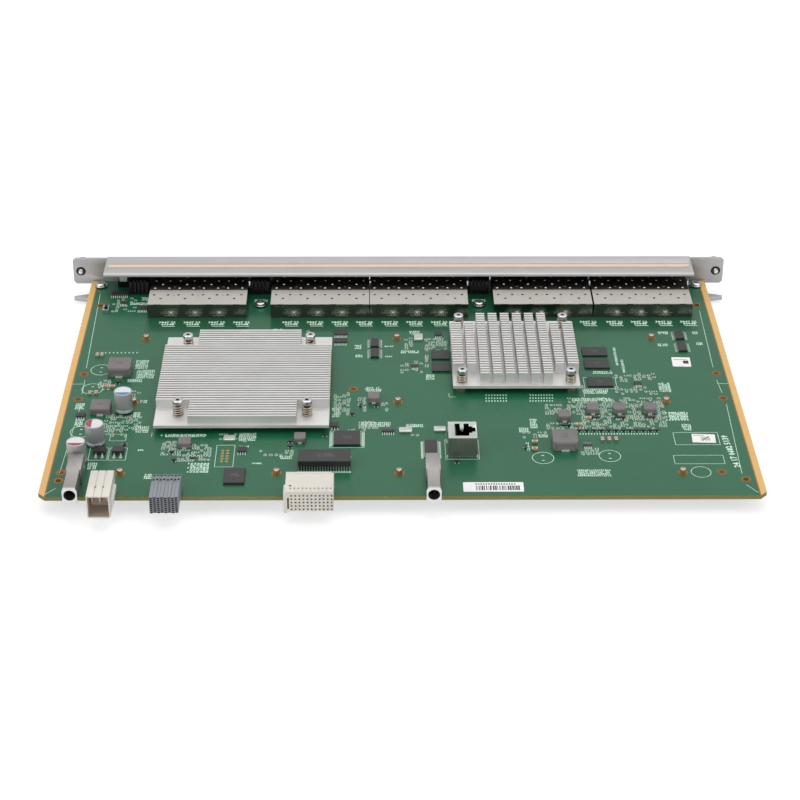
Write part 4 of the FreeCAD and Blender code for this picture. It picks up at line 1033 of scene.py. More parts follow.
class LINECARD_OT_board_holes(bpy.types.Operator):
    """Plates the holes with copper rings, paints shade in the middles of the holes seen here alone
    and caps the swaged post ends
    """
    bl_idname = "linecard.board_holes"
    bl_label = "Rings and post ends"

    def execute(self, context):
        high = sizes().print_height / MM
        collar = ring(1.6, 2.75, 0.0, high, 24)
        finished_with(collar, "copper_ring")
        rims = copies(collar, upon(POSTS))
        plate = ring(1.5, 2.6, 0.0, high, 24)
        finished_with(plate, "copper_ring")
        plates = copies(plate, upon(CAD_HOLES + MARKED_HOLES))
        seated(joined([rims, plates]), "plated_rings")
        well = drum(1.6, 0.0, high * 0.6, 20)
        with Bench(well) as bench:
            bench.faces(facing("z"))
            bench.inset(0.15)
        finished_with(well, "copper_ring", "via_dark")
        # Painted shade: the dark middle stands for the open hole
        with Bench(well) as bench:
            bench.faces(lambda middle, lean: lean.z > 0.9 and middle.xy.length < 0.5)
            bench.paint(1)
        seated(copies(well, upon(MARKED_HOLES)), "filled_holes")
        tip = drum(1.6, 0.0, 2.6, 20)
        with Bench(tip) as bench:
            bench.edges(rim_above(2.59))
            bench.bevel(0.4, 2)
            bench.faces(facing("z", 0.99))
            bench.inset(0.45)
            bench.extrude(z=-0.5)
            bench.slice((0, 0, 0.7), (0, 0, 1))
            bench.edges(rim_at(0.7))
            bench.bevel(0.2, 1)
        finished_with(tip, "post_metal")
        seated(copies(tip, upon(POSTS)), "post_ends")
        return {"FINISHED"}


# Each can's spot, turn and mark
CANS = (((-148.6, 84.0), 0, "mark_blue"), ((-160.0, 50.6), -90, "mark_red"),
        ((-167.4, 33.0), 0, "mark_red"))


class LINECARD_OT_capacitors(bpy.types.Operator):
    """Models the electrolytic cans: crimped foot, rolled rim and a marked top"""
    bl_idname = "linecard.capacitors"
    bl_label = "Electrolytic capacitors"

    def execute(self, context):
        seated(joined([self.can(*each) for each in CANS]), "marked_cans",
               replaces=("electrolytic_capacitors",))
        return {"FINISHED"}

    def can(self, spot, turn, mark):
        """One can at the origin, its mark towards the near side, then turned and moved."""
        radius, high, inner, mark_edge = 4.9, 12.5, 4.35, -0.3 * 4.35
        can = drum(radius, 0.9, high, 40)
        with Bench(can) as bench:
            bench.edges(rim_above(high - 0.01))
            bench.bevel(0.35, 3)
            for level in (2.0, 2.5, 3.0):
                bench.slice((0, 0, level), (0, 0, 1))
            bench.edges(rim_at(2.5))
            bench.resize(0.93, 0.93, 1)
            bench.faces(facing("z", 0.99))
            bench.inset(radius - 0.35 - inner)
            bench.extrude(z=-0.2)
            bench.faces(lambda middle, lean: lean.z > 0.99 and abs(middle.z - high + 0.2) < 0.02)
            bpy.ops.mesh.bisect(plane_co=(0, mark_edge * MM, 0), plane_no=(0, 1, 0))
        finished_with(can, "can_aluminium", "can_top_white", mark)
        with Bench(can) as bench:
            for slot, limit in ((1, radius), (2, mark_edge)):
                bench.faces(lambda middle, lean: lean.z > 0.99 and middle.z < high - 0.1
                            and middle.y < limit)
                bench.paint(slot)
        foot = drum(radius - 0.35, 0.0, 1.2, 32)
        with Bench(foot) as bench:
            bench.edges(rim_below(0.1))
            bench.bevel(0.3, 2)
        finished_with(foot, "black_resin")
        whole = joined([can, foot])
        whole.data.transform(Matrix.Translation(Vector((*spot, 0)) * MM)
                             @ Matrix.Rotation(math.radians(turn), 4, "Z"))
        return whole


# Inductors by left, near, right and far side and height
POWER_INDUCTORS = [(-161.5, 120.0, -149.0, 132.6, 5.6), (-166.4, 79.2, -155.8, 89.8, 4.0),
                   (78.4, 42.5, 91.4, 55.3, 5.5)]
SMALL_INDUCTORS = [(83.4, 71.6, 89.9, 78.4, 3.6), (99.2, 79.2, 105.7, 86.0, 3.6),
                   (113.5, 79.2, 120.0, 86.0, 3.6), (129.8, 79.2, 136.3, 86.0, 3.6),
                   (-116.7, 45.5, -110.2, 52.0, 3.4), (-56.5, 50.6, -50.6, 57.0, 3.0),
                   (-18.0, 91.4, -11.8, 98.0, 3.6)]


class LINECARD_OT_inductors(bpy.types.Operator):
    """Models the pressed inductors with chamfered corners and folded end tabs"""
    bl_idname = "linecard.inductors"
    bl_label = "Inductors"

    def execute(self, context):
        for name, node, boxes in (("tabbed_power_inductors", "power_inductors", POWER_INDUCTORS),
                                  ("tabbed_inductors", "small_inductors", SMALL_INDUCTORS)):
            coils = [self.inductor(box) for box in boxes]
            seated(joined(coils), name, replaces=(node,))
        return {"FINISHED"}

    def inductor(self, box):
        """A pressed body between its plan corners, with a tab at its near and far side."""
        x0, y0, x1, y1, high = box
        wide = x1 - x0
        body = block((x0, y0, 0.1), (x1, y1, high))
        with Bench(body) as bench:
            bench.edges(upright)
            bench.bevel(0.04 * wide, 2)
            bench.edges(above(high - 0.01))
            bench.bevel(0.14, 2)
            bench.faces(facing("-y"))
            bench.inset(0.22 * high)
            bench.sink(0.12)
        finished_with(body, "inductor_body")
        middle_x = (x0 + x1) / 2
        tabs = []
        for y, outward in ((y0, -1), (y1, 1)):
            low, far = sorted((y, y + outward * 0.35))
            tab = block((middle_x - 0.16 * wide, low, 0.0),
                        (middle_x + 0.16 * wide, far, 0.3 * high))
            with Bench(tab) as bench:
                bench.slice((0, 0, 0.4), (0, 0, 1))
                bench.faces(lambda middle, lean: lean.y * outward > 0.9 and middle.z < 0.3)
                bench.extrude(y=outward * 0.9)
            finished_with(tab, "tinned")
            tabs.append(tab)
        return joined([body, *tabs])


def gull_chip(x0, y0, x1, y1, high, leads, along="x"):
    """A moulded chip with formed leads on two sides; leads is the number on each side."""
    mould = block((x0, y0, 0.15), (x1, y1, high))
    with Bench(mould) as bench:
        bench.slice((0, 0, high * 0.55), (0, 0, 1))
        bench.edges(above(high - 0.01))
        bench.bevel(0.16, 1)
        bench.faces(facing("z", 0.99))
        bench.inset(0.3)
    finished_with(mould, "chip_body")
    turned = along == "y"
    span = (y1 - y0) if turned else (x1 - x0)
    pitch = (span - 0.8) / max(leads - 1, 1)
    middle_x, middle_y = (x0 + x1) / 2, (y0 + y1) / 2
    reach = ((x1 - x0) if turned else (y1 - y0)) / 2
    wide = min(0.45, pitch * 0.5)
    lead = block((-wide / 2, -reach - 0.4, high * 0.4), (wide / 2, -reach + 0.1, high * 0.4 + 0.2))
    with Bench(lead) as bench:
        bench.faces(facing("-y"))
        bench.extrude(y=-0.25, z=-high * 0.38)
        bench.extrude(y=-0.55)
    finished_with(lead, "tinned")
    half = min(0.6 * wide, 0.42 * pitch) if leads < 12 else 0.44 * pitch
    pad = eased_block((-half, -reach - 1.9, 0), (half, -reach - 0.5, 0.04), 0.015, "solder_pad")
    lead = joined([lead, pad])
    places = []
    for index in range(leads):
        shift = (index - (leads - 1) / 2) * pitch
        for side in (0, 180):
            sign = 1 if side == 0 else -1
            if turned:
                places.append((middle_x, middle_y + shift, 0, side + 90))
            else:
                places.append((middle_x + shift * sign, middle_y, 0, side))
    return joined([mould, copies(lead, places)])


# Chips by left, near, right and far side, height, leads on a side and the leads' row
SMALL_CHIPS = (
    (157.2, 161.5, 162.0, 170.5, 1.3, 8, "y"), (157.2, 147.5, 162.0, 157.0, 1.3, 8, "y"),
    (-16.6, 153.0, -12.1, 162.0, 1.3, 8, "y"), (-16.6, 141.0, -12.1, 150.5, 1.3, 8, "y"),
    (-37.6, 166.6, -30.0, 171.5, 1.4, 10), (-37.6, 157.4, -30.0, 162.2, 1.4, 10),
    (-170.0, 215.4, -160.0, 219.5, 1.4, 9))
DRIVER_CHIPS = ((-173.6, 76.4, -168.8, 80.4, 1.5, 4), (-85.6, 41.0, -81.0, 45.6, 1.5, 4),
                (20.0, 165.4, 23.8, 169.4, 1.4, 4), (-37.4, 65.4, -33.6, 69.6, 1.4, 3),
                (-10.6, 60.6, -4.0, 63.6, 1.2, 6), (6.0, 129.6, 9.8, 133.0, 1.0, 5),
                (128.0, 110.0, 132.0, 113.6, 1.0, 5), (94.8, 46.2, 99.0, 48.6, 1.0, 5),
                (-163.6, 205.2, -160.2, 208.2, 1.0, 4), (-152.6, 197.4, -147.2, 201.6, 1.1, 6))
METAL_CANS = ((-1.6, 60.0, 5.4, 64.6, 1.5), (16.8, 61.0, 23.2, 65.5, 1.5),
              (8.0, 160.0, 13.0, 167.2, 1.6), (-93.6, 51.6, -87.2, 56.6, 1.8))


class LINECARD_OT_chips(bpy.types.Operator):
    """Models the leaded chips, the magnetics module, the transistors and the metal cans"""
    bl_idname = "linecard.chips"
    bl_label = "Chips and modules"

    def execute(self, context):
        seated(joined([gull_chip(*chip) for chip in SMALL_CHIPS]), "leaded_chips",
               replaces=("small_chips",))
        seated(joined([gull_chip(*chip) for chip in DRIVER_CHIPS]), "driver_chips")
        logic = [gull_chip(-35.7, 47.4, -22.0, 61.4, 1.4, 18, "y"), self.flat_chip(),
                 gull_chip(11.6, 35.5, 18.2, 52.0, 1.2, 20, "y")]
        seated(joined(logic), "logic_chips", replaces=("controller_chips",))
        module = gull_chip(-53.6, 23.8, -26.8, 35.4, 5.9, 20)
        softened(module, 0.06, 1, 60)
        seated(module, "leaded_magnetics", replaces=("magnetics_module",))
        seated(joined([self.transistor(-160.0, 39.6), self.transistor(-150.5, 39.6)]),
               "tabbed_transistors", replaces=("power_transistors",))
        seated(joined([self.metal_can(*can) for can in METAL_CANS]), "drawn_cans",
               replaces=("metal_cans",))
        return {"FINISHED"}

    def flat_chip(self):
        """A ball grid chip: thin carrier with a moulded top, all in the chip finish."""
        carrier = block((-91.2, 10.6, 0.05), (-80.3, 24.8, 0.5))
        with Bench(carrier) as bench:
            bench.faces(facing("z"))
            bench.inset(0.25)
            bench.extrude(z=0.9)
            bench.edges(above(1.39))
            bench.bevel(0.12, 1)
        return finished_with(carrier, "chip_body")

    def transistor(self, x, y):
        """A power transistor: tapered body, wide far tab and two bent near leads."""
        body = block((x, y, 0.1), (x + 6.2, y + 5.6, 2.2))
        with Bench(body) as bench:
            bench.faces(facing("z"))
            bench.resize(0.92, 0.9, 1)
        finished_with(body, "chip_body")
        tab = eased_block((x + 0.5, y + 5.4, 0), (x + 5.7, y + 6.9, 0.5), 0.1, "tinned")
        leads = []
        for shift in (1.0, 4.4):
            lead = block((x + shift, y - 0.9, 0.7), (x + shift + 0.8, y + 0.2, 1.1))
            with Bench(lead) as bench:
                bench.faces(facing("-y"))
                bench.extrude(y=-0.3, z=-0.7)
                bench.extrude(y=-0.9)
            leads.append(finished_with(lead, "tinned"))
            leads.append(eased_block((x + shift - 0.4, y - 3.4, 0),
                                     (x + shift + 1.2, y - 0.6, 0.05), 0.02, "tinned"))
        return joined([body, tab, *leads])

    def metal_can(self, x0, y0, x1, y1, high):
        """A drawn can with rounded corners and a slightly sunk top."""
        can = block((x0, y0, 0.1), (x1, y1, high))
        with Bench(can) as bench:
            bench.edges(upright)
            bench.bevel(0.6, 3)
            bench.slice((0, 0, 0.5), (0, 0, 1))
            bench.edges(above(high - 0.01))
            bench.bevel(0.25, 2)
            bench.faces(facing("z", 0.99))
            bench.inset(0.5)
            bench.extrude(z=-0.08)
        return finished_with(can, "tinned")


def scattered(rows, chance, step=(2.3, 1.8)):
    """Spots on a loose grid in each box of a list, some left out."""
    spots = []
    for x0, y0, x1, y1 in rows:
        across = max(1, round((x1 - x0) / step[0]))
        along = max(1, round((y1 - y0) / step[1]))
        for column in range(across):
            for line in range(along):
                if random.random() > chance:
                    continue
                x = x0 + (column + 0.5) * (x1 - x0) / across + random.uniform(-0.25, 0.25)
                y = y0 + (line + 0.5) * (y1 - y0) / along + random.uniform(-0.2, 0.2)
                spots.append((x, y, 0, random.choice((0, 90))))
    return spots


# Fields of small parts, each by its left, near, right and far side
DENSE_FIELDS = [
    (-158.0, 62.0, -138.0, 80.0), (-125.5, 39.0, -117.4, 53.0), (-117.0, 33.0, -107.4, 44.8),
    (-109.6, 34.0, -99.0, 50.0), (-36.8, 79.0, -27.4, 103.0), (-23.8, 83.0, -18.6, 98.0),
    (-11.0, 83.0, -6.8, 94.0), (2.3, 151.0, 7.4, 165.0), (13.8, 149.0, 27.0, 164.0),
    (76.5, 64.4, 96.0, 71.0), (96.0, 64.4, 141.0, 78.4), (77.0, 79.0, 98.4, 90.0),
    (106.4, 79.0, 113.0, 90.0), (121.0, 79.0, 129.0, 90.0), (137.0, 70.0, 142.0, 90.0),
    (90.0, 86.8, 141.0, 97.0), (92.4, 38.6, 102.6, 45.8), (-166.0, 106.4, -158.8, 119.0),
    (-37.4, 62.2, -24.2, 64.8), (-23.0, 63.4, -12.0, 72.6),
]
SPARSE_FIELDS = [
    (-168.6, 196.0, -153.6, 214.0), (-146.8, 98.0, -141.0, 108.0), (-99.0, 52.0, -76.0, 61.0),
    (13.0, 126.0, 16.4, 147.0), (-0.6, 124.0, 13.0, 138.0), (116.6, 100.0, 140.0, 109.0),
    (117.6, 114.0, 141.0, 124.0), (2.0, 58.0, 12.0, 59.4), (-56.4, 166.0, -48.4, 173.4),
    (24.2, 54.0, 33.0, 60.0), (-75.0, 38.0, -56.0, 44.0), (-156.0, 57.0, -144.0, 61.0),
    (63.0, 55.0, 77.0, 62.0),
]


# The tan capacitors, and the transistors in rows and alone
TAN_CAPACITORS = (
    [(x, 52.5, 0, 90) for x in (105.0, 108.6, 112.2)]
    + [(-169.1, 101.3, 0, 90), (-165.7, 101.5, 0, 90), (-169.8, 143.3, 0, 90),
       (-167.2, 143.3, 0, 90)]
    + upon([(94.2, 67.6), (-161.3, 108.5), (-157.6, 108.5), (69.4, 50.4), (68.9, 43.5),
            (99.6, 74.4)]))
TRANSISTOR_ROWS = (
    (62.3, (93.6, 97.6, 101.5, 105.2, 109.2, 113.1, 117.0, 120.4, 123.9, 127.4, 131.2, 134.6)),
    (75.4, (101.6, 104.6, 115.4, 118.2, 131.4, 134.2)))
LONE_TRANSISTORS = (
    upon([(85.6, 67.4), (88.6, 67.4), (-155.1, 113.7), (-119.6, 41.6), (-108.2, 35.6),
          (-117.8, 34.0), (-40.6, 58.4), (-26.4, 79.8), (-13.6, 88.6), (-58.4, 47.0),
          (-58.4, 52.0), (28.0, 31.8)])
    + [(-144.9, 49.7, 0, 90), (-22.0, 88.8, 0, 90), (64.4, 45.4, 0, 90)])


class LINECARD_OT_small_parts(bpy.types.Operator):
    """Models one chip resistor, one chip capacitor and one small transistor and scatters them"""
    bl_idname = "linecard.small_parts"
    bl_label = "Small parts"

    def execute(self, context):
        random.seed(sizes().seed)
        dense = scattered(DENSE_FIELDS, 0.62)
        spots = dense + scattered(SPARSE_FIELDS, 0.45, (2.6, 2.2))
        random.shuffle(spots)
        third = len(spots) // 3
        resistors = copies(self.two_ended(0.5, 0.28, 0.36, "chip_body"), spots[third:])
        seated(resistors, "chip_resistors")
        capacitors = copies(self.two_ended(0.5, 0.3, 0.6, "ceramic"), spots[:third])
        seated(capacitors, "small_chip_capacitors")
        self.large_capacitors()
        self.transistors()
        return {"FINISHED"}

    def capped(self, chip, body, by, beyond):
        """Draws both ends of a chip out and tins what lies beyond a distance."""
        finished_with(chip, body, "tinned")
        with Bench(chip) as bench:
            for axis, sign in (("-x", -1), ("x", 1)):
                bench.faces(facing(axis))
                bench.extrude(x=sign * by)
            bench.faces(lambda middle, lean: abs(middle.x) > beyond)
            bench.paint(1)
        return chip

    def two_ended(self, half, side, high, body):
        """A chip with tinned ends, on its two pads."""
        chip = block((-half * 0.55, -side, 0.03), (half * 0.55, side, high))
        self.capped(chip, body, half * 0.5, half * 0.6)
        pad = block((half * 0.7, -side - 0.12, 0), (half + 0.55, side + 0.12, 0.035))
        finished_with(cornered(pad, 0.1), "solder_pad")
        bar = block((-0.75, side + 0.3, 0), (0.75, side + 0.48, 0.03))
        finished_with(cornered(bar, 0.05), "board_print")
        both_ends = [(0, 0, 0, 0), (0, 0, 0, 180)]
        return joined([chip, copies(pad, both_ends), copies(bar, both_ends)])

    def large_capacitors(self):
        """The tan capacitors, larger than the scattered ones."""
        chip = self.capped(block((-0.95, -1.0, 0.05), (0.95, 1.0, 1.6)), "ceramic", 0.6, 1.0)
        with Bench(chip) as bench:
            bench.edges(lambda middle, lean: abs(lean.x) > 0.9)
            bench.bevel(0.15, 1)
        seated(copies(chip, TAN_CAPACITORS), "large_chip_capacitors",
               replaces=("chip_capacitors",))

    def transistors(self):
        """Three-legged transistors and diodes."""
        body = eased_block((-1.4, -0.65, 0.1), (1.4, 0.65, 1.0), 0.1, "chip_body")
        lead = block((-0.2, -1.0, 0.3), (0.2, -0.6, 0.45))
        with Bench(lead) as bench:
            bench.faces(facing("-y"))
            bench.extrude(y=-0.15, z=-0.28)
            bench.extrude(y=-0.4)
        finished_with(lead, "tinned")
        legs = copies(lead, [(-0.95, 0, 0, 0), (0.95, 0, 0, 0), (0, 0, 0, 180)])
        rows = upon((x, y) for y, row in TRANSISTOR_ROWS for x in row)
        seated(copies(joined([body, legs]), rows + LONE_TRANSISTORS), "small_transistors")


# Blocks of printed numbers: middle, size across and along, turn
PRINT_FIELDS = [
    (-81.2, 209.8, 10.0, 4.6, 0), (46.8, 209.8, 10.0, 4.6, 0), (-70.0, 174.6, 8.0, 3.4, 0),
    (-149.6, 212.2, 5.8, 6.0, 0), (-152.8, 206.2, 12.5, 5.2, 0), (-144.0, 134.2, 8.3, 11.4, 0),
    (-141.0, 123.4, 12.6, 10.6, 0), (-146.2, 116.2, 9.2, 4.6, 0), (-139.2, 93.6, 5.0, 5.0, 0),
    (-137.2, 64.6, 8.6, 8.6, 0), (-173.0, 88.6, 6.0, 7.2, 0), (-171.2, 71.4, 5.4, 9.6, 0),
    (-159.4, 28.8, 6.2, 7.2, 0), (-114.0, 58.4, 25.0, 4.6, 0), (-104.2, 26.8, 11.6, 10.8, 90),
    (-82.8, 47.4, 8.0, 3.0, 0), (-81.2, 57.0, 11.0, 9.4, 0), (-129.8, 18.8, 5.6, 5.8, 0),
    (-60.4, 36.6, 8.6, 4.4, 0), (-23.8, 153.8, 4.6, 6.8, 0), (-23.2, 143.4, 5.6, 4.2, 0),
    (-6.3, 154.4, 6.6, 3.2, 0), (-6.3, 142.8, 6.6, 3.2, 0), (8.4, 170.2, 7.4, 6.4, 0),
    (5.4, 148.0, 13.4, 4.2, 0), (16.4, 119.6, 6.0, 8.0, 90), (-15.2, 106.2, 10.8, 7.0, 0),
    (-35.2, 81.8, 4.8, 11.0, 0), (-13.6, 69.4, 19.4, 5.4, 0), (6.8, 68.0, 10.4, 4.0, 0),
    (150.8, 169.8, 7.0, 4.4, 0), (149.0, 155.6, 8.0, 4.2, 0), (169.2, 169.8, 3.6, 4.4, 0),
    (170.0, 157.0, 4.6, 3.6, 0), (121.0, 142.6, 3.4, 25.0, 90), (111.8, 124.4, 13.6, 5.0, 0),
    (106.0, 103.4, 17.0, 6.6, 0), (148.0, 77.6, 12.2, 9.8, 0), (65.6, 47.0, 3.0, 10.0, 0),
    (74.2, 57.4, 6.2, 3.8, 0), (64.4, 63.4, 6.6, 5.6, 0), (97.8, 21.2, 20.4, 8.8, 0),
    (96.0, 108.6, 10.0, 3.6, 0), (30.0, 152.0, 4.0, 9.0, 90), (-56.0, 162.0, 7.0, 5.0, 0),
    (-136.0, 44.0, 4.4, 3.4, 0), (124.0, 131.6, 3.0, 18.0, 90), (144.4, 108.0, 8.0, 12.0, 90),
    (-75.0, 31.0, 6.0, 3.0, 0), (-141.6, 80.0, 4.6, 6.0, 0), (103.0, 95.0, 26.0, 4.0, 0),
    (70.0, 70.0, 5.0, 12.0, 0), (151.0, 66.0, 6.0, 8.0, 0),
]
# Circles by middle and radius, the last one without pads; boxes by corners; lines by ends
PRINT_CIRCLES = [(-165.9, 128.2, 5.9), (-168.4, 107.2, 5.8), (-169.2, 62.5, 5.7),
                 (72.7, 35.7, 5.7), (107.5, 37.5, 5.7), (152.7, 21.9, 5.2)]
PRINT_BOXES = [(143.0, 48.4, 166.4, 60.6), (140.4, 29.8, 166.2, 38.0), (-96.6, 27.8, -87.2, 48.8),
               (-153.2, 53.4, -144.8, 60.0), (-162.2, 34.4, -152.6, 46.4),
               (-151.9, 34.4, -143.0, 46.4), (22.4, 34.6, 39.8, 53.8), (-37.9, 46.2, -19.8, 62.6),
               (100.6, 106.6, 118.2, 119.0)]
PRINT_LINES = [((-176.8, 219.0), (-174.4, 130.0)), ((-173.6, 117.0), (-173.4, 102.0)),
               ((-172.6, 90.0), (-175.2, 22.0)), ((-180.0, 112.6), (-174.0, 112.6)),
               ((-175.2, 8.0), (-180.0, 2.4)), ((175.4, 197.0), (174.0, 130.0)),
               ((174.0, 116.0), (175.0, 102.0)), ((175.6, 90.0), (173.4, 20.0)),
               ((174.0, 10.0), (179.0, 2.6)), ((173.6, 112.0), (180.0, 112.0)),
               ((26.0, 98.0), (26.0, 101.6)), ((26.0, 98.0), (29.6, 98.0)),
               ((99.6, 98.0), (99.6, 101.6)), ((-131.6, 57.6), (-131.6, 61.6))]
# Rows of bare pads: the first one's place, how many and their pitch
PAD_ROWS = [(-170.0, 147.6, 11, 2.2), (-126.4, 58.8, 12, 2.1), (46.2, 99.8, 8, 1.55),
            (46.0, 96.6, 8, 1.55), (46.0, 93.6, 8, 1.55), (70.2, 99.8, 9, 1.5),
            (70.0, 96.6, 9, 1.5), (69.8, 93.6, 9, 1.5), (141.9, 80.8, 8, 1.6),
            (141.6, 77.0, 8, 1.6), (141.4, 73.4, 8, 1.6), (94.0, 59.4, 28, 1.5),
            (-110.0, 31.0, 7, 1.7), (-110.0, 27.0, 7, 1.7), (-110.0, 23.0, 7, 1.7)]
# Plain numbers on chips and inductors: text, size, middle and the height of the top
CHIP_NUMBERS = [
    ("27 4180\n  36 1907", 2.6, -40.0, 29.6, 5.9), ("5082\n17 640", 1.9, -85.6, 18.0, 1.4),
    ("40 716\n 2398", 1.9, -28.8, 54.4, 1.4), ("68", 3.4, -155.2, 126.3, 5.6),
    ("47", 3.0, -161.1, 84.5, 4.0), ("33\n105", 3.2, 84.9, 48.9, 5.5),
    ("8216\n 40", 1.6, 109.3, 146.8, 1.1), ("8216\n 40", 1.6, 109.3, 132.8, 1.1),
    ("8216\n 40", 1.6, 109.3, 112.8, 1.1), ("8216", 1.5, 21.0, 143.2, 1.1),
    ("8216", 1.5, 21.0, 129.3, 1.1)]
PRINT_SIZE = 2.05
PRINT_LIFT = 0.01 * MM


class LINECARD_OT_print(bpy.types.Operator):
    """Prints the board: plain numbers beside the parts, outlines of empty places and lines"""
    bl_idname = "linecard.print"
    bl_label = "Silkscreen"

    def execute(self, context):
        random.seed(sizes().seed + 1)
        self.numbers()
        self.outlines()
        self.pads()
        return {"FINISHED"}

    def words(self, body, size, x, y, turn):
        """A block of numbers as a thin mesh, its middle at a spot."""
        deselect()
        bpy.ops.object.text_add()
        text = bpy.context.object
        text.data.body = body
        text.data.size = size * MM
        text.data.extrude = sizes().print_height / 2
        text.data.resolution_u = 1
        text.data.offset = 0.025 * size * MM
        text.data.align_x = "CENTER"
        text.data.align_y = "CENTER"
        text.data.space_line = 0.8
        bpy.ops.object.convert(target="MESH")
        piece = bpy.context.object
        place = Vector((x, y, 0)) * MM + Vector((0, 0, PRINT_LIFT))
        piece.data.transform(Matrix.Translation(place)
                             @ Matrix.Rotation(math.radians(turn), 4, "Z"))
        return piece

    def numbers(self):
        """Rows of short numbers that fill each field, and one block at each port."""
        blocks = []
        for x, y, across, along, turn in PRINT_FIELDS:
            wide, high = (along, across) if turn else (across, along)
            columns = max(2, int(wide / (PRINT_SIZE * 0.56)))
            rows = max(1, int(high / (PRINT_SIZE * 0.86)))
            lines = ["".join(random.choice("0123456789 8") for mark in range(columns))
                     for row in range(rows)]
            blocks.append(self.words("\n".join(lines), PRINT_SIZE, x, y, turn))
        bar = softened(block((-2.6, -3.4, 0), (4.8, -2.9, sizes().print_height / MM)), 0.008, 1)
        port = joined([self.words("3847 22\n 60948", 3.0, 0, 0.2, 0), bar])
        blocks.append(copies(port, upon((left + (number + 0.81) * PORT_PITCH, 181.8)
                                        for left in CAGE_LEFTS for number in range(4))))
        blocks.append(self.words("24 17 0682 5139", 4.6, 171.0, 42.0, 95))
        self.inked(blocks, "board_print", "printed_numbers", "board_green")
        self.chip_numbers()

    def chip_numbers(self):
        """Faint plain numbers on the larger chips and inductors."""
        faint = []
        for body, size, x, y, top in CHIP_NUMBERS:
            mark = self.words(body, size, x, y, 0)
            mark.data.transform(Matrix.Translation((0, 0, (top - 0.02) * MM)))
            faint.append(mark)
        self.inked(faint, "chip_print", "chip_numbers", "chip_black")

    def inked(self, marks, finish, name, slot):
        """Ends a set of print in one finish."""
        whole = joined(marks)
        whole.data.materials.clear()
        seated(finished_with(whole, finish), name)

    def strip(self, start, end, wide=0.24):
        """A printed line between two spots."""
        start, end = Vector(start), Vector(end)
        span = end - start
        line = block((0, -wide / 2, 0), (span.length, wide / 2, sizes().print_height / MM))
        cornered(line, wide * 0.35)
        line.data.transform(Matrix.Translation(Vector((*start, 0)) * MM)
                            @ Matrix.Rotation(math.atan2(span.y, span.x), 4, "Z"))
        return line

    def outlines(self):
        """Lines, boxes and the circles of empty capacitor places."""
        drawn = [self.strip(*line) for line in PRINT_LINES]
        for x0, y0, x1, y1 in PRINT_BOXES:
            corners = [(x0, y0), (x1, y0), (x1, y1), (x0, y1)]
            drawn += [self.strip(corners[n], corners[(n + 1) % 4]) for n in range(4)]
        for x, y, radius in PRINT_CIRCLES:
            hoop = ring(radius - 0.3, radius, 0.0, sizes().print_height / MM, 40)
            drawn.append(copies(hoop, [(x, y, 0, 0)]))
        seated(finished_with(joined(drawn), "board_print"), "printed_lines")

    def pads(self):
        """Bare tinned pads: rows of them, and pairs in the empty capacitor places."""
        high = sizes().print_height / MM
        pad = cornered(block((-0.35, -0.75, 0), (0.35, 0.75, high)), 0.2)
        finished_with(pad, "solder_pad")
        places = upon((x + index * pitch, y) for x, y, count, pitch in PAD_ROWS
                      for index in range(count))
        for x, y, radius in PRINT_CIRCLES[:-1]:
            places += [(x, y - 2.4, 0, 90), (x, y + 2.4, 0, 90)]
        eyelet = finished_with(ring(0.38, 0.78, 0.0, high, 16), "gold_plate")
        eyelets = copies(eyelet, upon((x, 33.0 + 2.6 * row) for x in (-93.3, -90.7)
                                      for row in range(5)))
        seated(joined([copies(pad, places), eyelets]), "bare_pads")


class LINECARD_OT_labels(bpy.types.Operator):
    """Sticks the paper labels on, with plain bars instead of words"""
    bl_idname = "linecard.labels"
    bl_label = "Labels"

    def execute(self, context):
        random.seed(sizes().seed + 2)
        papers = [self.paper(30.4, 3.9, 61.0, 12.6, 0), self.paper(151.9, 130.8, 162.2, 141.2, -2),
                  self.paper(152.4, 50.4, 164.6, 58.8, -3)]
        inks = []
        x, last = 37.0, 58.6
        while x < last:
            wide = random.choice((0.3, 0.5, 0.8))
            inks.append(self.bar(x, 5.2, x + wide, 9.4))
            x += wide + random.choice((0.3, 0.4, 0.7))
        inks += [self.bar(36.6 + 1.3 * index, 10.3, 37.4 + 1.3 * index, 11.4)
                 for index in range(16)]
        inks += [self.bar(158.0, 134.0, 161.0, 137.4), self.bar(153.0, 138.4, 160.6, 138.8),
                 self.bar(153.4, 57.4, 159.0, 57.8)]
        inks += [self.bar(157.0 + 0.8 * column, 52.4 + 0.8 * row, 157.7 + 0.8 * column,
                          53.1 + 0.8 * row)
                 for column in range(6) for row in range(5) if (column * 2 + row * 3) % 5 < 3]
        seated(finished_with(joined(papers), "label_paper"), "paper_labels")
        seated(finished_with(joined(inks), "label_ink"), "label_bars")
        return {"FINISHED"}

    def paper(self, x0, y0, x1, y1, turn):
        """One label with cut corners."""
        half_x, half_y = (x1 - x0) / 2, (y1 - y0) / 2
        sheet = cornered(block((-half_x, -half_y, 0.01), (half_x, half_y, 0.12)), 0.6, 3)
        return copies(sheet, [((x0 + x1) / 2, (y0 + y1) / 2, 0, turn)])

    def bar(self, x0, y0, x1, y1):
        """One printed bar."""
        return softened(block((x0, y0, 0.1), (x1, y1, 0.15)), 0.01, 1)


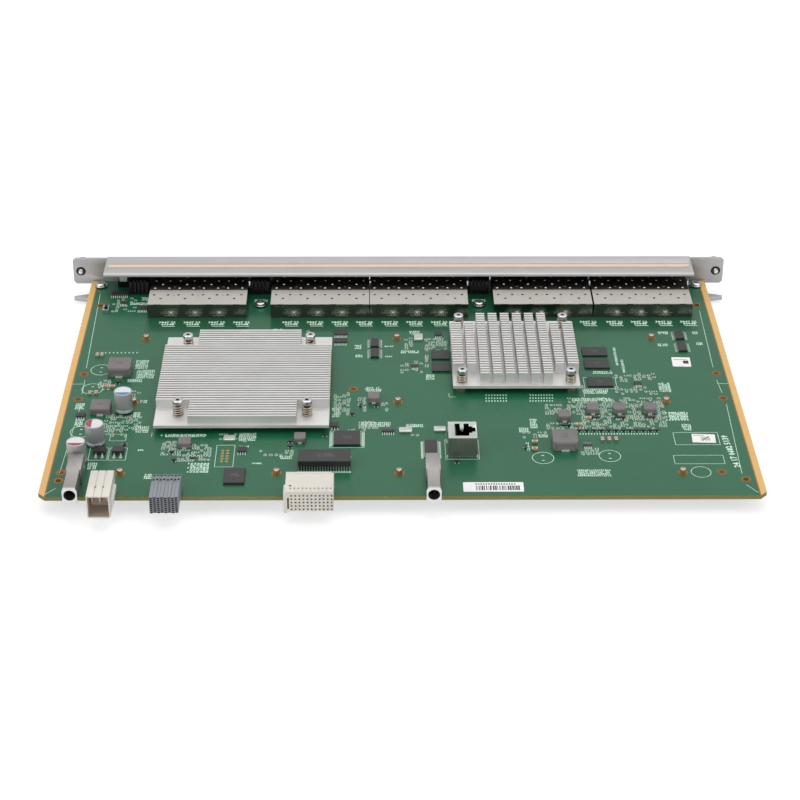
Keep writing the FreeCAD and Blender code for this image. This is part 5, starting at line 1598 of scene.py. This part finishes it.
class LINECARD_OT_connectors(bpy.types.Operator):
    """Details the connectors at the backplane edge and rounds their mouldings"""
    bl_idname = "linecard.connectors"
    bl_label = "Backplane connectors"

    def execute(self, context):
        self.wafers()
        self.power()
        self.backplane()
        for side in ("left", "right"):
            dressed_node(f"guide_socket_{side}", f"cast_guide_{side}", 0.35,
                         segments=3, lining="screw_steel",
                         inside=lambda middle, lean: middle.y < -5.7 and lean.y < -0.2)
        return {"FINISHED"}

    def wafers(self):
        """Eight contact wafers, each with a row of holes in its face and steps on top."""
        pitch, front, back, top, bottom, ledge = 1.8, -13.4, 9.0, 8.6, -0.8, 6.0
        wafer = block((0.06, front, bottom), (pitch - 0.06, back, top))
        with Bench(wafer) as bench:
            bench.slice((0, back - ledge, 0), (0, 1, 0))
            bench.slice((0, -0.3, 0), (0, 1, 0))
            bench.faces(lambda middle, lean: lean.z > 0.9 and middle.y > back - ledge)
            bench.move(z=-1.0)
            bench.faces(lambda middle, lean: lean.z < -0.9 and middle.y > -0.3)
            bench.move(z=-bottom)
            for index in range(1, 8):
                bench.slice((0, 0, bottom + index * (top - bottom) / 8), (0, 0, 1))
            bench.faces(facing("-y"))
            bench.inset(0.2, each=True)
            bench.sink(1.6)
        finished_with(wafer, "grey_resin", "black_resin")
        # The hole faces get black resin: painted shade in the holes
        with Bench(wafer) as bench:
            bench.faces(lambda middle, lean: front + 0.1 < middle.y < front + 2
                        and 0.3 < middle.x < pitch - 0.3)
            bench.paint(1)
        stud = drum(0.42, top - 1.02, top - 0.75, 10, pitch / 2, back - 4.4)
        finished_with(stud, "black_resin")
        # The dark notch and groove blocks: painted shade in them
        notch = eased_block((0.35, back - 1.6, top - 1.02), (pitch - 0.35, back - 0.7, top - 0.8),
                            0.05, "black_resin")
        groove = eased_block((0.3, back - ledge - 0.9, top - 0.05),
                             (pitch - 0.3, back - ledge - 0.3, top + 0.05), 0.02, "black_resin")
        wafer = joined([wafer, stud, notch, groove])
        set_out = copies(wafer, [(-126.0 + index * pitch, 0, -0.25 if index % 2 == 0 else 0.0, 0)
                                 for index in range(8)])
        seated(set_out, "contact_wafers", replaces=("signal_connector",))

    def power(self):
        """The rounded power housing with the rib along its right side."""
        # The housing's inner cavity faces get the well shade: painted shade
        dressed_node("power_connector", "rounded_power_housing", 0.3, segments=2,
                     inside=lambda middle, lean: -156.0 < middle.x < -145.6 and middle.z < 10.15
                     and -1.3 < middle.z and -16.1 < middle.y < -4.0, lining="well_shade")
        rib = block((-145.05, -11.0, 2.0), (-143.9, 3.6, 5.4))
        with Bench(rib) as bench:
            bench.edges(lambda middle, lean: middle.x > -144.0)
            bench.bevel(0.4, 2)
        finished_with(rib, "white_resin")
        slots = []
        # Dark bars on the housing's top: painted shade in its slots
        for third in (1, 2):
            x = -156.6 + 11.6 * third / 3
            slots.append(eased_block((x - 0.45, -8.0, 10.75), (x + 0.45, -7.2, 11.02), 0.04,
                                     "via_dark"))
        seated(joined([rib, *slots]), "power_side_rib")

    def backplane(self):
        """The rounded backplane socket with bumps and a recessed panel on its top."""
        # The socket's hole faces get the hollow shade: painted shade
        dressed_node("backplane_connector", "rounded_backplane_socket", 0.12,
                     segments=1, inside=lambda middle, lean: -58.6 < middle.x < -35.1
                     and -1.9 < middle.z < 9.2 and -9.9 < middle.y < 7.8)
        top = 9.5
        bump = drum(0.7, top - 0.05, top + 0.16, 14)
        with Bench(bump) as bench:
            bench.all()
            bench.resize(1, 1.5, 1)
            bench.faces(facing("z"))
            bench.inset(0.2)
            bench.extrude(z=-0.12)
        finished_with(bump, "white_resin", "well_shade")
        # The sunk top of each bump gets the well shade: painted shade
        with Bench(bump) as bench:
            bench.faces(lambda middle, lean: lean.z > 0.9 and middle.z < top + 0.1)
            bench.paint(1)
        bumps = copies(bump, upon((-56.2 + 2.0 * index, -7.4) for index in range(11)))
        # The dark nicks and the dark key square: painted shade in notches and a hole
        nick = eased_block((-0.3, -9.2, top - 0.1), (0.3, -8.8, top + 0.03), 0.03, "socket_well")
        nicks = copies(nick, upon((-54.2 + 4.0 * index, 0) for index in range(5)))
        key = eased_block((-57.0, -5.4, top - 0.02), (-55.8, -4.2, top + 0.05), 0.03, "via_dark")
        frame_bars = [eased_block((x, y, top - 0.02), (-35.0, 7.6, top + 0.35), 0.1, "white_resin")
                      for x, y in ((-55.0, 6.6), (-35.9, -4.6))]
        seated(joined([bumps, nicks, key, *frame_bars]), "socket_top_details")


class LINECARD_OT_jack(bpy.types.Operator):
    """Adds the contacts and the earth tab of the upward jack and rounds its shield"""
    bl_idname = "linecard.jack"
    bl_label = "Modular jack"

    def execute(self, context):
        # The shield's top faces get the brighter tin and its other faces the darker plate: painted
        # light and shade on one sheet
        dressed_node("jack_shield", "folded_jack_shield", 0.12, segments=1,
                     inside=facing("z"), lining="tinned")
        contact = block((-0.18, -0.2, 4.0), (0.18, 0.2, 10.6))
        with Bench(contact) as bench:
            bench.faces(facing("-z"))
            bench.extrude(x=1.0, z=-0.8)
            bench.edges(above(10.5))
            bench.bevel(0.1, 1)
        finished_with(contact, "gold_plate")
        contacts = copies(contact, upon((27.6, 39.6 + 1.4 * index) for index in range(8)))
        tab = block((29.8, 46.6, 11.4), (31.8, 52.2, 12.02))
        with Bench(tab) as bench:
            bench.faces(facing("-y"))
            bench.extrude(y=-0.8, z=-1.6)
            bench.resize(0.7, 1, 1)
        finished_with(tab, "tinned")
        foot = block((-0.5, -0.9, 0.0), (0.5, 0.9, 0.9))
        with Bench(foot) as bench:
            bench.faces(facing("z"))
            bench.resize(0.5, 0.6, 1)
        finished_with(foot, "tinned")
        feet = copies(foot, upon((x, y) for y in (37.0, 51.0) for x in (23.4, 38.8)))
        seated(joined([contacts, tab, feet]), "jack_contacts")
        return {"FINISHED"}


# Places along the captive screws' axis, measured as Y, and where that axis lies
PANEL_FACE = 238.0
KNOB_LOW = 242.0
KNOB_HIGH = 246.6
KNOB_RADIUS = 4.3
GROOVE_TURN = 10
SCREW_TIP = 234.4
TIP_NECK = 235.3
SCREW_X = 189.8
SCREW_Z = 6.3
KNOB_COIL = 2.05


class LINECARD_OT_panel(bpy.types.Operator):
    """Rounds the front panel, the levers and the switch, and dresses the captive screws"""
    bl_idname = "linecard.panel"
    bl_label = "Panel and levers"

    def execute(self, context):
        dressed_node("front_panel", "eased_front_panel", 0.15, segments=1,
                     shape=self.slim_nose)
        self.gasket()
        dressed_node("panel_bracket", "eased_bracket", 0.12, segments=1)
        for side in ("left", "right"):
            dressed_node(f"ejector_{side}", f"eased_lever_{side}", 0.25,
                         f"ejector_{side}")
            self.captive(side, -1 if side == "left" else 1)
        dressed_node("led_blocks", "eased_led_blocks", 0.1, segments=1)
        dressed_node("reset_switch_body", "eased_switch", 0.12, segments=1)
        return {"FINISHED"}

    def slim_nose(self, bench):
        """Raises the underside of the rail's near lip."""
        bench.faces(lambda middle, lean: lean.z < -0.7 and 11.4 < middle.z < 12.6
                    and middle.y < 219)
        bench.move(z=1.3)

    def gasket(self):
        """The cloth strip, crowned across its width."""
        strip = block((-171.8, 224.2, 14.5), (171.8, 228.0, 15.3))
        with Bench(strip) as bench:
            bench.edges(lambda middle, lean: abs(lean.x) > 0.9 and middle.z > 15.2)
            bench.bevel(0.5, 3)
        finished_with(strip, "gasket_weave")
        seated(strip, "crowned_gasket", replaces=("emi_gasket",))

    def grooved(self, middle, lean):
        """A test for every second face round the knob."""
        turn = math.degrees(math.atan2(middle.y, middle.x))
        return (abs(lean.z) < 0.1 and middle.xy.length > 4.0
                and round(turn / GROOVE_TURN - 0.5) % 2 == 0)

    def captive(self, side, sign):
        """A grooved knob on its shank, a retaining ring and a spring, about an axis along Y."""
        knob = drum(KNOB_RADIUS, KNOB_LOW, KNOB_HIGH, 360 // GROOVE_TURN)
        with Bench(knob) as bench:
            bench.faces(facing("z"))
            bench.inset(0.5)
            bench.extrude(z=-0.4)
        for reach_x, reach_y in ((2.6, 0.4), (0.4, 2.6)):
            bored(knob, block((-reach_x, -reach_y, 245.2), (reach_x, reach_y, 248.0)))
        with Bench(knob) as bench:
            bench.faces(self.grooved)
            bench.inset(0.08, each=True)
            bench.sink(0.3)
        shank = drum(1.45, SCREW_TIP, 243.0, 20)
        with Bench(shank) as bench:
            bench.edges(rim_below(SCREW_TIP + 0.1))
            bench.bevel(0.5, 2)
            for level in (TIP_NECK - 0.3, TIP_NECK, TIP_NECK + 0.3):
                bench.slice((0, 0, level), (0, 0, 1))
            bench.edges(rim_at(TIP_NECK, 0.05))
            bench.resize(0.84, 0.84, 1)
        screw = finished_with(joined([knob, shank]), "screw_steel")
        clip = ring(1.62, 2.95, 235.25, 235.98, 24)
        softened(clip, 0.12, 1)
        finished_with(clip, "black_resin")
        coil = wound(PANEL_FACE, KNOB_LOW, KNOB_COIL, 3)
        laid = (Matrix.Translation(Vector((sign * SCREW_X, 0, SCREW_Z)) * MM)
                @ Matrix.Rotation(math.radians(-90), 4, "X"))
        for piece in (screw, clip, coil):
            piece.data.transform(laid)
        seated(screw, f"knurled_screw_{side}", f"screw_{side}",
               (f"captive_screw_{side}",))
        seated(clip, f"round_clip_{side}", f"clip_{side}", (f"screw_clip_{side}",))
        seated(coil, f"knob_spring_{side}",
               replaces=(f"screw_spring_{side}",), smooth=60)
        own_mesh(coil)


UNDERSIDE = -2.3
# Grids of connector pins: first pin, steps across and along, columns and rows
PIN_GRIDS = ((-124.8, 0.8, 1.8, 1.9, 8, 4), (-55.7, 0.6, 2.0, 1.8, 11, 4),
             (-155.0, 1.4, 2.8, 2.8, 4, 2))


class LINECARD_OT_underside(bpy.types.Operator):
    """Adds the solder joints of the connectors and posts under the board"""
    bl_idname = "linecard.underside"
    bl_label = "Underside joints"

    def execute(self, context):
        dome = drum(0.55, -0.55, 0.0, 10)
        with Bench(dome) as bench:
            bench.faces(facing("-z"))
            bench.resize(0.5, 0.5, 1)
        finished_with(dome, "tinned")
        spots = [(x + step_x * column, y + step_y * row)
                 for x, y, step_x, step_y, columns, rows in PIN_GRIDS
                 for column in range(columns) for row in range(rows)]
        spots += [(26.4 + 1.4 * column, 40.0 + 3.0 * (column % 2)) for column in range(8)]
        spots += [(x + 2.5 * side, y) for (x, y), turn, mark in CANS for side in (-1, 1)]
        spots += [(left + share * PORT_PITCH, 192.0 + 3.0 * row) for left in CAGE_LEFTS
                  for share in (0.3, 1.3, 2.3, 3.3) for row in range(3)]
        places = [(x, y, UNDERSIDE, 0) for x, y in spots]
        seated(copies(dome, places), "solder_joints")
        return {"FINISHED"}


STEPS = [LINECARD_OT_finishes, LINECARD_OT_stage, LINECARD_OT_lids, LINECARD_OT_cage_tabs,
         LINECARD_OT_sink_screws, LINECARD_OT_board_screws, LINECARD_OT_board_holes,
         LINECARD_OT_capacitors, LINECARD_OT_inductors, LINECARD_OT_chips,
         LINECARD_OT_small_parts, LINECARD_OT_print, LINECARD_OT_labels,
         LINECARD_OT_connectors, LINECARD_OT_jack, LINECARD_OT_panel, LINECARD_OT_underside]


class LINECARD_PT_panel(bpy.types.Panel):
    """Lists the steps, the sizes and the colours"""
    bl_idname = "LINECARD_PT_panel"
    bl_label = "Line Card"
    bl_space_type = "VIEW_3D"
    bl_region_type = "UI"
    bl_category = "Line Card"

    def draw(self, context):
        for step in STEPS:
            self.layout.operator(step.bl_idname)
        for group in (context.scene.card_sizes, context.scene.card_colours):
            column = self.layout.column(align=True)
            for name in group.bl_rna.properties.keys():
                if name not in ("rna_type", "name"):
                    column.prop(group, name)


CLASSES = [CardColours, CardSizes, *STEPS, LINECARD_PT_panel]


def register():
    for made in CLASSES:
        bpy.utils.register_class(made)
    bpy.types.Scene.card_colours = PointerProperty(type=CardColours)
    bpy.types.Scene.card_sizes = PointerProperty(type=CardSizes)


def unregister():
    del bpy.types.Scene.card_sizes
    del bpy.types.Scene.card_colours
    for made in reversed(CLASSES):
        bpy.utils.unregister_class(made)


def main():
    """Registers the add-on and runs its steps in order."""
    register()
    for step in STEPS:
        group, name = step.bl_idname.split(".")
        getattr(getattr(bpy.ops, group), name)()


if __name__ == "__main__":
    main()
